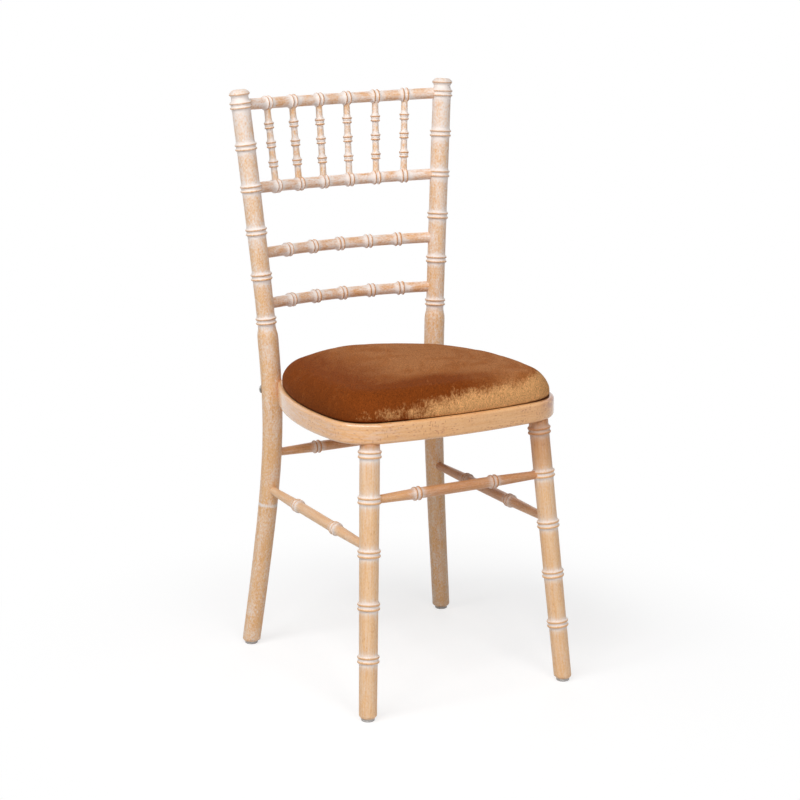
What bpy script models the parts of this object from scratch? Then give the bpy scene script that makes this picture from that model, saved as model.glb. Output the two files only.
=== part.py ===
# Chair with a drop-in seat pad.
# A turned wooden frame with bamboo-style rings: two bent rear posts, bowed back rails with
# spindles, a bentwood seat hoop, splayed front legs, four stretchers and a crowned pad that
# lifts off the seat panel. Metres, +Z up, the front faces -Y.

import math

import bmesh
import bpy
import numpy as np

# Fits
fit = 0.0003                # gap between faces that touch
socket_air = 0.001          # air past the end of a tenon
cutter_reach = 0.020        # how far a cutter runs out past the face that it opens
slope_reach = 0.002         # half the stretch of an axis over which its direction is read

# Seat hoop: half outline from the middle of the front to the middle of the back, as tangent arcs
hoop_front_y = -0.1881
hoop_front_radius = 0.976
hoop_front_turn = math.radians(8.0)
hoop_corner_radius = 0.0709
hoop_corner_turn = math.radians(73.6)
hoop_side_radius = 0.450
hoop_side_turn = math.radians(34.2)
hoop_rear_corner_radius = 0.060
hoop_rear_corner_turn = math.radians(33.0)
hoop_bottom_z = 0.425
hoop_height = 0.032
hoop_width = 0.038
hoop_edge_round = 0.003
rim_width = 0.008
rebate_depth = 0.013
hoop_steps = 60
turn_weight = 0.08          # metres added for each radian, so that corners get closer steps

# Seat panel in the hoop's rebate
panel_thickness = 0.005
strip_size = (0.025, 0.120)
strip_thickness = 0.0016
strip_offset_x = 0.075

# Seat pad
board_thickness = 0.004
board_set_in = 0.0135
cover_thickness = 0.001
cover_border = 0.020
pad_side_gap = 0.0008
pad_bulge_height = 0.0066
pad_side_height = 0.0318
pad_shoulder_reach = 0.0350
pad_shoulder_power = 2.0
pad_side_power = 1.37
pad_crown = 0.0100
pad_crown_power = 1.7
pad_fall = 0.0030           # lower at the back than at the front
pad_steps = 44

# How far the pad's widest part lies in from the hoop's edge, by the edge's heading in degrees
pad_set_in_by_heading = ((0, 0.0017), (30, 0.0039), (60, 0.0047), (92, 0.0047), (111, 0.0033),
                         (125, 0.0068), (145, 0.0083), (180, 0.0103))

# Front legs
leg_heading = math.radians(26.0)
leg_set_in = 0.0166
leg_splay = (0.0649, 0.0995)
leg_ring_z = (0.4077, 0.3384, 0.2570, 0.1763, 0.0949)
leg_radius_by_height = ((0.0, 0.0140), (0.15, 0.0147), (0.36, 0.0155), (0.425, 0.0154))
leg_ring_proud = 0.0028
leg_tenon_radius = 0.010
leg_tenon_length = 0.0165
leg_sides = 12

# Rear posts: a straight splay below, a straight lean above and a soft bend between
post_heading = math.radians(139.2)
post_notch = 0.0006
post_splay_below = (0.1194, 0.1008)
post_lean_above = (0.0872, 0.0848)
post_bend_z = 0.3757
post_bend_softness = 0.1482
post_top_z = 0.923
post_ring_drops = (0.0257, 0.0913, 0.1577, 0.2267, 0.2995, 0.3714)
post_radius_by_height = ((0.0, 0.0148), (0.20, 0.0154), (0.39, 0.0164), (0.525, 0.0169),
                         (0.535, 0.0152), (0.545, 0.0142), (0.556, 0.0146), (0.72, 0.0149), (0.923, 0.0151))
post_neck_drops = (0.3885, 0.3985)
post_plain_step = 0.042
post_sides = 12

# Finial: flat top, bevel, cap ring and neck, as distance below the top and radius
finial = ((0.0, 0.0104), (0.0035, 0.0139), (0.0075, 0.0167), (0.0095, 0.0158), (0.0125, 0.0138))

# Rings: one pair of turned beads, with a long cove before it and a short step after it
ring_pitch = 0.0074
ring_proud = 0.0026
ring_groove = 0.0009
ring_cove = 0.0080
ring_shoulder = 0.0013

# Back rails, bowed to the rear, square to the lean of the back
rail_bow = 0.033
rail_lean = math.radians(6.0)
rail_radius = 0.0090
rail_ring_proud = 0.0027
rail_sides = 10
rail_depth = 0.012
crest_drop = 0.0250
crest_ring_shift = -0.0039
spindle_rail_ring_shift = -0.0026
lumbar_radius = 0.0089
lumbar_lean = math.radians(3.7)
lumbar_upper_drop = 0.2629
lumbar_lower_drop = 0.3449
lumbar_upper_ring_shift = -0.0014
lumbar_lower_ring_shift = 0.0003
lumbar_ring_spacing = 0.0517
lumbar_rings = 5

# Spindles between the crest rail and the spindle rail
spindle_count = 6
spindle_spacing_top = 0.0513
spindle_spacing_bottom = 0.0478
spindle_radius = 0.0055
spindle_depth = 0.0070
spindle_ring_proud = 0.0027
spindle_ring_pitch = 0.0072
spindle_ring_places = (0.27, 0.50, 0.735)
spindle_sides = 8

# Stretchers, thinner at their ends
stretcher_end_radius = 0.0065
stretcher_radius = 0.0085
stretcher_ring_proud = 0.0025
stretcher_depth = 0.011
stretcher_sides = 8
front_stretcher_ring_places = (0.262, 0.700)
rear_stretcher_ring_places = (0.268, 0.706)
side_stretcher_ring_places = (0.315, 0.693)
side_stretcher_front_z = 0.2642
side_stretcher_rear_z = 0.2700
front_stretcher_z = 0.3373
rear_stretcher_z = 0.3309

# Glides under the four feet
glide_radius = 0.0106
glide_height = 0.005
glide_edge = 0.001
nail_radius = 0.0012
nail_length = 0.014
foot_chamfer = 0.0025
foot_chamfer_height = 0.004

# Bolts through the posts into the hoop
bolt_z = 0.4370
bolt_radius = 0.003
bolt_head_radius = 0.0070
bolt_head_height = 0.0040
nut_radius = 0.0055
nut_height = 0.005
washer_radius = 0.0065
washer_thickness = 0.001
bolt_tail = 0.0015
bolt_sides = 12
hex_sides = 6

# Colours as linear values, with roughness and metallic
finishes = {
    "limewashed_beech": ((0.78, 0.66, 0.54), 0.55, 0.0),
    "beech": ((0.75, 0.50, 0.30), 0.45, 0.0),
    "plywood": ((0.62, 0.44, 0.27), 0.60, 0.0),
    "velvet": ((0.24, 0.095, 0.030), 0.85, 0.0),
    "steel": ((0.62, 0.62, 0.60), 0.30, 1.0),
    "glide_plastic": ((0.60, 0.60, 0.58), 0.50, 0.0),
    "hook_and_loop": ((0.03, 0.03, 0.03), 0.95, 0.0),
}


# The axis of a piece, kept as closely spaced points and read by the distance along it
class Route:
    def __init__(self, points):
        self.points = np.array(points, dtype=float)
        steps = np.linalg.norm(np.diff(self.points, axis=0), axis=1)
        self.reach = np.concatenate(([0.0], np.cumsum(steps)))
        self.length = self.reach[-1]

    def along(self, distance):
        return np.array([np.interp(distance, self.reach, column) for column in self.points.T])

    def direction(self, distance):
        low = min(max(distance - slope_reach, 0.0), self.length - 2 * slope_reach)
        ahead = self.along(low + 2 * slope_reach) - self.along(low)
        return ahead / np.linalg.norm(ahead)

    # Beyond its ends the axis runs on straight
    def point(self, distance):
        inside = min(max(distance, 0.0), self.length)
        return self.along(inside) + self.direction(inside) * (distance - inside)

    # Distance at which an axis that runs downwards passes a height
    def at_height(self, z):
        return np.interp(-z, -self.points[:, 2], self.reach)


# One cross-section: a ring of points square to the axis, or level when the piece is cut level
def section(route, distance, radius, sides, level=False):
    centre = route.point(distance)
    ahead = route.direction(distance)
    reference = np.array([0.0, 1.0, 0.0]) if abs(ahead[2]) > 0.7 else np.array([0.0, 0.0, 1.0])
    across = np.cross(ahead, reference)
    across /= np.linalg.norm(across)
    up = np.cross(across, ahead)
    angles = 2 * math.pi * (np.arange(sides) + 0.5) / sides
    ring = centre + radius * (np.outer(np.cos(angles), across) + np.outer(np.sin(angles), up))
    if level:
        ring += np.outer((centre[2] - ring[:, 2]) / ahead[2], ahead)
    return ring


# A body from a list of stations (distance, radius, level or not) along a route
def turned(route, stations, sides):
    return [section(route, station[0], station[1], sides, *station[2:]) for station in stations]


# A plain round cutter that follows a route, wider than the piece that it makes room for
def socket(route, start, end, radius, sides):
    wide = radius + fit / math.cos(math.pi / sides)
    return turned(route, ((start, wide), (end, wide)), sides)


# A mesh object from bodies, each a list of rings. An open body gets its two ends filled, and a
# closed one, such as a hoop, joins its last ring to its first.
def build(name, bodies, finish=None, parent=None, closed=False):
    mesh_data = bmesh.new()
    for rings in bodies:
        loops = [[mesh_data.verts.new(point) for point in ring] for ring in rings]
        pairs = list(zip(loops, loops[1:]))
        if closed:
            pairs.append((loops[-1], loops[0]))
        else:
            mesh_data.faces.new(loops[0])
            mesh_data.faces.new(loops[-1])
        for first, second in pairs:
            for i in range(len(first)):
                j = (i + 1) % len(first)
                mesh_data.faces.new((first[i], first[j], second[j], second[i]))
    bmesh.ops.recalc_face_normals(mesh_data, faces=mesh_data.faces)
    mesh = bpy.data.meshes.new(name)
    mesh_data.to_mesh(mesh)
    mesh_data.free()
    mesh.shade_smooth()
    mesh.set_sharp_from_angle(angle=math.radians(38))
    piece = bpy.data.objects.new(name, mesh)
    bpy.context.scene.collection.objects.link(piece)
    piece.parent = parent
    if finish:
        mesh.materials.append(material(name, finish))
    return piece


def material(name, finish):
    colour, roughness, metallic = finishes[finish]
    made = bpy.data.materials.new(name + "_" + finish)
    made.use_nodes = True
    shader = made.node_tree.nodes["Principled BSDF"]
    shader.inputs["Base Color"].default_value = (*colour, 1.0)
    shader.inputs["Roughness"].default_value = roughness
    shader.inputs["Metallic"].default_value = metallic
    made.diffuse_color = (*colour, 1.0)
    return made


# Cuts holes or seats into a piece. The cutter's bodies keep clear of each other.
def cut(piece, name, bodies):
    cutter = build(name, bodies, parent=piece.parent)
    cutter.hide_render = True
    cutter.display_type = "WIRE"
    boolean = piece.modifiers.new(name, "BOOLEAN")
    boolean.operation = "DIFFERENCE"
    boolean.solver = "EXACT"
    boolean.object = cutter


def radius_at(height, table):
    heights, radii = zip(*table)
    return float(np.interp(height, heights, radii))


# The pair of beads with its long cove before and its short step after, in the order of the route
def ring_pair(centre, radius, proud, pitch=ring_pitch):
    half = pitch / 2
    return [
        (centre - half - ring_cove, radius),
        (centre - half * 1.75, radius + ring_shoulder),
        (centre - half, radius + proud),
        (centre, radius + ring_groove),
        (centre + half, radius + proud),
        (centre + half * 1.75, radius),
    ]


# Half outline of the hoop as arcs: centre x, centre y, radius, heading at start and at end
def hoop_arcs():
    arcs = []
    x, y, heading = 0.0, hoop_front_y, 0.0
    for radius, turn in (
        (hoop_front_radius, hoop_front_turn),
        (hoop_corner_radius, hoop_corner_turn),
        (hoop_side_radius, hoop_side_turn),
        (hoop_rear_corner_radius, hoop_rear_corner_turn),
    ):
        centre_x = x - radius * math.sin(heading)
        centre_y = y + radius * math.cos(heading)
        arcs.append((centre_x, centre_y, radius, heading, heading + turn))
        heading += turn
        x = centre_x + radius * math.sin(heading)
        y = centre_y - radius * math.cos(heading)
    rear_radius = x / math.sin(heading)
    arcs.append((0.0, y + rear_radius * math.cos(heading), rear_radius, heading, math.pi))
    return arcs


# Point of the outline where the edge runs at a heading, moved in towards the seat by set_in
def hoop_point(heading, set_in=0.0):
    for centre_x, centre_y, radius, start, end in hoop_arcs():
        if heading <= end:
            reach = radius - set_in
            return centre_x + reach * math.sin(heading), centre_y - reach * math.cos(heading)
    return hoop_point(math.pi, set_in)


# Headings that walk once round the whole hoop, closer together at its corners
def hoop_headings(steps):
    arcs = hoop_arcs()
    lengths = [(radius + turn_weight) * (end - start) for _, _, radius, start, end in arcs]
    reach = np.concatenate(([0.0], np.cumsum(lengths)))
    turns = [0.0] + [end for *_, end in arcs]
    half = np.interp(np.linspace(0.0, reach[-1], steps // 2 + 1), reach, turns)
    return list(half) + [-heading for heading in half[-2:0:-1]]


# Closed outline with a set-in for each point, with the left half mirrored from the right
def shaped_outline(set_ins):
    points = []
    for heading, set_in in zip(hoop_headings(len(set_ins)), set_ins):
        x, y = hoop_point(abs(heading), set_in)
        points.append((math.copysign(x, heading) if heading else x, y))
    return points


def outline(set_in, steps):
    return shaped_outline([set_in] * steps)


def flat_ring(set_in, z, steps):
    return [(x, y, z) for x, y in outline(set_in, steps)]


def hoop_normal(heading):
    return math.sin(heading), -math.cos(heading)


# Heights that hang from the top of the posts
post_ring_z = [post_top_z - drop for drop in post_ring_drops]
post_neck_z = [post_top_z - drop for drop in post_neck_drops]
crest_z = post_top_z - crest_drop
lumbar_upper_z = post_top_z - lumbar_upper_drop
lumbar_lower_z = post_top_z - lumbar_lower_drop

# Heights that stack up from the hoop
ledge_z = hoop_bottom_z + hoop_height - rebate_depth
rim_z = hoop_bottom_z + hoop_height
panel_z = ledge_z + fit
panel_top_z = panel_z + panel_thickness
hook_z = panel_top_z + fit
loop_z = hook_z + strip_thickness + fit
board_z = loop_z + strip_thickness + fit
board_top_z = board_z + board_thickness
foot_z = glide_height + fit
bulge_z = rim_z + pad_bulge_height


# Axis of a front leg, from the top of its tenon to the foot
def leg_route(side):
    top_x, top_y = hoop_point(leg_heading, leg_set_in)
    splay_x, splay_y = leg_splay
    heights = np.linspace(hoop_bottom_z + leg_tenon_length, foot_z, 12)
    drop = hoop_bottom_z - heights
    return Route(np.column_stack((side * (top_x + splay_x * drop), top_y - splay_y * drop, heights)))


# How far a post stands out from its place at the bolt: two straight leans joined by a soft bend
def post_offset(z, below, above):
    rise = z - post_bend_z
    bend = np.hypot(rise, post_bend_softness)
    return (above - below) / 2 * rise + (above + below) / 2 * bend


def post_route(side):
    edge_x, edge_y = hoop_point(post_heading)
    out_x, out_y = hoop_normal(post_heading)
    stand_off = radius_at(bolt_z, post_radius_by_height) + fit - post_notch
    heights = np.linspace(post_top_z, foot_z, 90)
    x = edge_x + out_x * stand_off
    y = edge_y + out_y * stand_off
    below_x, below_y = post_splay_below
    above_x, above_y = post_lean_above
    xs = x + post_offset(heights, below_x, above_x) - post_offset(bolt_z, below_x, above_x)
    ys = y + post_offset(heights, below_y, above_y) - post_offset(bolt_z, below_y, above_y)
    return Route(np.column_stack((side * xs, ys, heights)))


# The axis between two points, bowed sideways by an arch that is flat at its middle
def bowed_route(first, last, bow=0.0, lean=0.0):
    share = np.linspace(0.0, 1.0, 60)
    arch = 4 * share * (1 - share)
    way = np.array([0.0, math.cos(lean), -math.sin(lean)])
    straight = np.outer(1 - share, first) + np.outer(share, last)
    return Route(straight + bow * np.outer(arch, way))


def place_at_height(route, z):
    return route.point(route.at_height(z))


leg_routes = {"left": leg_route(-1), "right": leg_route(1)}
post_routes = {"left": post_route(-1), "right": post_route(1)}


def rail_route(z, lean):
    ends = [place_at_height(post_routes[side], z) for side in ("left", "right")]
    return bowed_route(*ends, rail_bow, lean)


def cross_route(routes, z):
    ends = [place_at_height(routes[side], z) for side in ("left", "right")]
    return bowed_route(*ends)


def side_route(side):
    front = place_at_height(leg_routes[side], side_stretcher_front_z)
    rear = place_at_height(post_routes[side], side_stretcher_rear_z)
    return bowed_route(front, rear)


# How far from the axis of a round piece a tenon ends that goes a given depth into it
def tenon_end(radius, depth):
    return max(radius - depth, socket_air)


# Bodies that open a piece for the two ends of a bar
def end_sockets(route, start, end, radius, sides):
    first = socket(route, start - socket_air, start + cutter_reach, radius, sides)
    last = socket(route, end - cutter_reach, end + socket_air, radius, sides)
    return first, last


# Back rails: rings spaced evenly about a point near the middle of the bow
def make_rail(name, z, lean, radius, middle_shift, spacing, count, parent):
    route = rail_route(z, lean)
    start = tenon_end(radius_at(z, post_radius_by_height), rail_depth)
    end = route.length - start
    stations = [(start, radius), (start + cutter_reach, radius)]
    for i in range(count):
        centre = route.length / 2 + middle_shift + (i - (count - 1) / 2) * spacing
        stations += ring_pair(centre, radius, rail_ring_proud)
    stations += [(end - cutter_reach, radius), (end, radius)]
    rail = build(name, [turned(route, stations, rail_sides)], "limewashed_beech", parent)
    return rail, route, end_sockets(route, start, end, radius, rail_sides)


# Spindles run from the crest rail down to the spindle rail
def make_spindles(crest_route, low_route, parent):
    top_sockets = []
    bottom_sockets = []
    for i in range(spindle_count):
        step = i - (spindle_count - 1) / 2
        top = crest_route.point(
            crest_route.length / 2 + crest_ring_shift + step * spindle_spacing_top)
        bottom = low_route.point(
            low_route.length / 2 + spindle_rail_ring_shift + step * spindle_spacing_bottom)
        route = bowed_route(top, bottom)
        start = tenon_end(rail_radius, spindle_depth)
        end = route.length - start
        stations = [(start, spindle_radius)]
        for place in spindle_ring_places:
            centre = place * route.length
            stations += ring_pair(centre, spindle_radius, spindle_ring_proud, spindle_ring_pitch)
        stations.append((end, spindle_radius))
        name = "spindle_" + str(i + 1)
        build(name, [turned(route, stations, spindle_sides)], "limewashed_beech", parent)
        first, last = end_sockets(route, start, end, spindle_radius, spindle_sides)
        top_sockets.append(first)
        bottom_sockets.append(last)
    return top_sockets, bottom_sockets


# Stretchers swell from their ends to their rings
def make_stretcher(name, route, first_radius, last_radius, places, parent):
    start = tenon_end(first_radius, stretcher_depth)
    end = route.length - tenon_end(last_radius, stretcher_depth)
    stations = [(start, stretcher_end_radius)]
    stations.append((first_radius, stretcher_end_radius))
    for place in places:
        stations += ring_pair(place * route.length, stretcher_radius, stretcher_ring_proud)
    stations.append((route.length - last_radius, stretcher_end_radius))
    stations.append((end, stretcher_end_radius))
    build(name, [turned(route, stations, stretcher_sides)], "limewashed_beech", parent)
    return end_sockets(route, start, end, stretcher_end_radius, stretcher_sides)


# The foot is chamfered and cut level, with a hole for the glide's nail
def foot_stations(route, radius):
    chamfer = route.length - foot_chamfer_height
    return [(chamfer, radius, True), (route.length, radius - foot_chamfer, True)]


# A straight axis that stands upright below a foot
def upright_route(route, low, high):
    foot = route.point(route.length)
    return Route(((foot[0], foot[1], high), (foot[0], foot[1], low)))


def nail_socket(route):
    upright = upright_route(route, 0.0, glide_height + nail_length)
    return socket(upright, -socket_air, upright.length, nail_radius, bolt_sides)


def make_front_leg(side, sockets, parent):
    route = leg_routes[side]
    shoulder = route.at_height(hoop_bottom_z - fit)
    neck = radius_at(hoop_bottom_z, leg_radius_by_height)
    stations = [(0.0, leg_tenon_radius), (shoulder, leg_tenon_radius, True), (shoulder, neck, True)]
    for z in leg_ring_z:
        radius = radius_at(z, leg_radius_by_height)
        stations += ring_pair(route.at_height(z), radius, leg_ring_proud)
    stations += foot_stations(route, radius_at(0.0, leg_radius_by_height))
    name = "front_leg_" + side
    leg = build(name, [turned(route, stations, leg_sides)], "limewashed_beech", parent)
    cut(leg, name + "_holes", sockets + [nail_socket(route)])


def make_post(side, sockets, parent):
    route = post_routes[side]
    pairs = []
    for z in post_ring_z:
        radius = radius_at(z, post_radius_by_height)
        pairs += ring_pair(route.at_height(z), radius, ring_proud)
    stations = list(finial) + pairs[1:]    # the finial's neck runs into the first pair
    plain_steps = max(1, round((post_neck_z[-1] - foot_z) / post_plain_step))
    plain_z = np.linspace(post_neck_z[-1], foot_z, plain_steps + 1)[:-1]
    for z in [*post_neck_z[:-1], *plain_z]:
        stations.append((route.at_height(z), radius_at(z, post_radius_by_height)))
    stations += foot_stations(route, radius_at(0.0, post_radius_by_height))
    name = "back_post_" + side
    post = build(name, [turned(route, stations, post_sides)], "limewashed_beech", parent)
    cut(post, name + "_holes", sockets + [nail_socket(route), bolt_hole(side)])


# Plastic disc with its nail moulded in
def make_glide(name, route, parent):
    upright = upright_route(route, 0.0, glide_height + nail_length)
    top = nail_length
    bottom = upright.length
    stations = (
        (0.0, nail_radius),
        (top, nail_radius),
        (top, glide_radius - glide_edge),
        (top + glide_edge, glide_radius),
        (bottom - glide_edge, glide_radius),
        (bottom, glide_radius - glide_edge),
    )
    build(name, [turned(upright, stations, bolt_sides)], "glide_plastic", parent)


# Axis of a bolt, level and square to the hoop, from the middle of the post inwards
def bolt_route(side):
    post = place_at_height(post_routes[side], bolt_z)
    out_x, out_y = hoop_normal(post_heading)
    sign = -1 if side == "left" else 1
    inwards = np.array([-sign * out_x, -out_y, 0.0])
    return Route((post, post + inwards * (post_stand_off() + hoop_width)))


def post_stand_off():
    return radius_at(bolt_z, post_radius_by_height) + fit - post_notch


def bolt_hole(side):
    route = bolt_route(side)
    outside = radius_at(bolt_z, post_radius_by_height) + cutter_reach
    return socket(route, -outside, route.length + cutter_reach, bolt_radius, bolt_sides)


# How far the leaning, swelling post rises under the outer half of the bolt's head
def head_seat(side):
    route = post_routes[side]
    ahead = route.direction(route.at_height(bolt_z))
    lean = math.hypot(ahead[0], ahead[1]) / abs(ahead[2])
    widest = radius_at(bolt_z + bolt_head_radius, post_radius_by_height)
    return widest + lean * bolt_head_radius + fit


# Domed head on the back of the post, shank through post and hoop
def make_bolt(side, parent):
    route = bolt_route(side)
    seat = -head_seat(side)
    tail = route.length + washer_seat() + washer_thickness + nut_height + bolt_tail
    stations = (
        (seat - bolt_head_height, bolt_head_radius * 0.35),
        (seat - bolt_head_height * 0.8, bolt_head_radius * 0.7),
        (seat - bolt_head_height * 0.4, bolt_head_radius * 0.95),
        (seat, bolt_head_radius),
        (seat, bolt_radius),
        (tail, bolt_radius),
    )
    name = "post_bolt_" + side
    build(name, [turned(route, stations, bolt_sides)], "steel", parent)


# The washer keeps off the hollow of the hoop's inner face
def washer_seat():
    inner_radius = hoop_rear_corner_radius - hoop_width
    return fit + inner_radius - math.sqrt(inner_radius ** 2 - washer_radius ** 2)


def make_nut(side, parent):
    route = bolt_route(side)
    low = route.length + washer_seat()
    middle = low + washer_thickness
    high = middle + nut_height
    bore = bolt_radius + fit / math.cos(math.pi / bolt_sides)
    washer = turned(route, ((low, washer_radius), (middle, washer_radius)), bolt_sides)
    inner = turned(route, ((middle, bore), (low, bore)), bolt_sides)
    build("washer_" + side, [washer + inner], "steel", parent, closed=True)
    hex_bore = (bolt_radius + fit) / math.cos(math.pi / hex_sides)
    nut = turned(route, ((middle + fit, nut_radius), (high, nut_radius)), hex_sides)
    nut_bore = turned(route, ((high, hex_bore), (middle + fit, hex_bore)), hex_sides)
    build("nut_" + side, [nut + nut_bore], "steel", parent, closed=True)


# Cross-section of the hoop as set-in and height, walked once round
def hoop_section():
    soft = hoop_edge_round
    near = soft * (1 - math.cos(math.pi / 4))
    bottom = hoop_bottom_z
    return (
        (soft, bottom),
        (near, bottom + near),
        (0.0, bottom + soft),
        (0.0, rim_z - soft),
        (near, rim_z - near),
        (soft, rim_z),
        (rim_width, rim_z),
        (rim_width, ledge_z),
        (hoop_width, ledge_z),
        (hoop_width, bottom + near),
        (hoop_width - near, bottom),
    )


def make_hoop(parent):
    layers = [flat_ring(set_in, z, hoop_steps) for set_in, z in hoop_section()]
    hoop = build("seat_hoop", [layers], "beech", parent, closed=True)
    holes = []
    for side in ("left", "right"):
        leg = leg_routes[side]
        shoulder = leg.at_height(hoop_bottom_z)
        tenon = socket(leg, -socket_air, shoulder + cutter_reach, leg_tenon_radius, leg_sides)
        holes += [tenon, bolt_hole(side)]
    seats = [post_seat(side) for side in ("left", "right")]
    cut(hoop, "seat_hoop_post_seats", seats)
    cut(hoop, "seat_hoop_holes", holes)


# The hollow in the hoop's edge that a post stands in
def post_seat(side):
    route = post_routes[side]
    high = route.at_height(rim_z + cutter_reach)
    low = route.at_height(hoop_bottom_z - cutter_reach)
    wide = fit / math.cos(math.pi / post_sides)
    heights = np.linspace(rim_z + cutter_reach, hoop_bottom_z - cutter_reach, 4)
    places = np.linspace(high, low, 4)
    radii = [radius_at(z, post_radius_by_height) + wide for z in heights]
    return turned(route, tuple(zip(places, radii)), post_sides)


def make_panel(parent):
    set_in = rim_width + fit
    layers = [flat_ring(set_in, z, hoop_steps) for z in (panel_z, panel_top_z)]
    build("seat_panel", [layers], "plywood", parent)


def make_strip(name, x, z, parent):
    width, length = strip_size
    y = (hoop_front_y + hoop_point(math.pi)[1]) / 2
    corners = ((-1, -1), (1, -1), (1, 1), (-1, 1))
    square = [(x + i * width / 2, y + j * length / 2) for i, j in corners]
    layers = [[(px, py, height) for px, py in square] for height in (z, z + strip_thickness)]
    build(name, [layers], "hook_and_loop", parent)


def make_board(parent):
    layers = [flat_ring(board_set_in, z, pad_steps) for z in (board_z, board_top_z)]
    build("pad_board", [layers], "plywood", parent)


# How far in the widest part of the pad stands at each point of the seat's edge
def pad_widest():
    degrees, set_ins = zip(*pad_set_in_by_heading)
    return np.interp(np.degrees(np.abs(hoop_headings(pad_steps))), degrees, set_ins)


# Rings of the pad from its middle down to its widest part. Over the shoulder the share of the
# height is (1 - (1 - u) ^ p) ^ (1 / q), and a dome crown (1 - r ^ s) that falls to the back is added.
def pad_top(edge, widest):
    middle = edge.mean(axis=0)
    half_depth = np.ptp(edge[:, 1]) / 2
    rings = []

    def add_ring(flat, share):
        reach = np.linalg.norm(flat - middle, axis=1) / np.linalg.norm(edge - middle, axis=1)
        fall = pad_fall * (flat[:, 1] - middle[1]) / half_depth
        dome = pad_crown * (1 - reach ** pad_crown_power) - fall
        rings.append(np.column_stack((flat, bulge_z + (pad_side_height + dome) * share)))

    for step in (0.0, 0.03, 0.10, 0.22, 0.42, 0.68, 1.0):
        flat = np.array(shaped_outline(widest + pad_shoulder_reach * step))
        add_ring(flat, (1 - (1 - step) ** pad_shoulder_power) ** (1 / pad_side_power))
    for step in (0.72, 0.4, 0.12):
        add_ring(middle + (flat - middle) * step, 1.0)
    return rings[::-1]


def make_cushion(parent):
    border_z = board_z - fit - cover_thickness
    side = rim_width + pad_side_gap
    room = board_set_in - fit
    edge = np.array(outline(0.0, pad_steps))
    widest = pad_widest()
    rings = [ring.tolist() for ring in pad_top(edge, widest)]
    for step, rise in ((0.88, 0.0038), (0.55, 0.0022), (0.0, 0.0010)):
        flat = shaped_outline(side + (widest - side) * step)
        rings.append([(x, y, rim_z + rise) for x, y in flat])
    below = (
        (side, rim_z - fit),
        (side, board_z),
        (side + cover_thickness, border_z),
        (side + cover_border, border_z),
        (side + cover_border, border_z + cover_thickness),
        (room, border_z + cover_thickness),
        (room, board_top_z + fit),
    )
    rings += [flat_ring(set_in, z, pad_steps) for set_in, z in below]
    build("pad_cushion", [rings], "velvet", parent)


def make_empty(name, parent=None):
    empty = bpy.data.objects.new(name, None)
    bpy.context.scene.collection.objects.link(empty)
    empty.parent = parent
    return empty


# Moves the whole chair so that the middle of its outline stands over the origin
def centre_over_origin(root):
    bpy.context.view_layer.update()
    solids = [piece for piece in bpy.data.objects if piece.type == "MESH" and not piece.hide_render]
    depths = [corner[1] for piece in solids for corner in piece.bound_box]
    root.location.y = -(min(depths) + max(depths)) / 2


def clear_scene():
    for piece in list(bpy.data.objects):
        bpy.data.objects.remove(piece, do_unlink=True)


def main():
    clear_scene()
    chair = make_empty("chair")
    pad = make_empty("seat_pad", chair)
    post_sockets = {"left": [], "right": []}
    leg_sockets = {"left": [], "right": []}

    crest, crest_route, crest_ends = make_rail(
        "crest_rail", crest_z, rail_lean, rail_radius,
        crest_ring_shift, spindle_spacing_top, spindle_count, chair)
    low, low_route, low_ends = make_rail(
        "spindle_rail", post_ring_z[2], rail_lean, rail_radius,
        spindle_rail_ring_shift, spindle_spacing_bottom, spindle_count, chair)
    lumbar_rows = (
        ("lumbar_rail_upper", lumbar_upper_z, lumbar_upper_ring_shift),
        ("lumbar_rail_lower", lumbar_lower_z, lumbar_lower_ring_shift),
    )
    lumbar_ends = [
        make_rail(name, z, lumbar_lean, lumbar_radius, shift, lumbar_ring_spacing, lumbar_rings, chair)[2]
        for name, z, shift in lumbar_rows
    ]
    top_sockets, bottom_sockets = make_spindles(crest_route, low_route, chair)
    cut(crest, "crest_rail_holes", top_sockets)
    cut(low, "spindle_rail_holes", bottom_sockets)

    rear_radius = radius_at(rear_stretcher_z, post_radius_by_height)
    front_radius = radius_at(front_stretcher_z, leg_radius_by_height)
    rear_ends = make_stretcher("stretcher_rear", cross_route(post_routes, rear_stretcher_z),
                               rear_radius, rear_radius, rear_stretcher_ring_places, chair)
    front_ends = make_stretcher("stretcher_front", cross_route(leg_routes, front_stretcher_z),
                                front_radius, front_radius, front_stretcher_ring_places, chair)
    for left_end, right_end in [crest_ends, low_ends, *lumbar_ends, rear_ends]:
        post_sockets["left"].append(left_end)
        post_sockets["right"].append(right_end)
    for side, end in zip(("left", "right"), front_ends):
        leg_sockets[side].append(end)
    for side in ("left", "right"):
        front_end, rear_end = make_stretcher(
            "stretcher_" + side, side_route(side),
            radius_at(side_stretcher_front_z, leg_radius_by_height),
            radius_at(side_stretcher_rear_z, post_radius_by_height),
            side_stretcher_ring_places, chair)
        leg_sockets[side].append(front_end)
        post_sockets[side].append(rear_end)

    make_hoop(chair)
    make_panel(chair)
    for side, sign in (("left", -1), ("right", 1)):
        make_front_leg(side, leg_sockets[side], chair)
        make_post(side, post_sockets[side], chair)
        make_glide("glide_front_" + side, leg_routes[side], chair)
        make_glide("glide_rear_" + side, post_routes[side], chair)
        make_bolt(side, chair)
        make_nut(side, chair)
        make_strip("hook_strip_" + side, sign * strip_offset_x, hook_z, chair)
        make_strip("loop_strip_" + side, sign * strip_offset_x, loop_z, pad)
    make_board(pad)
    make_cushion(pad)
    centre_over_origin(chair)


main()
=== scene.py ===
# Looks for the chair with a seat pad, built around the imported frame. Metres, +Z up, front to -Y.
import math

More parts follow.
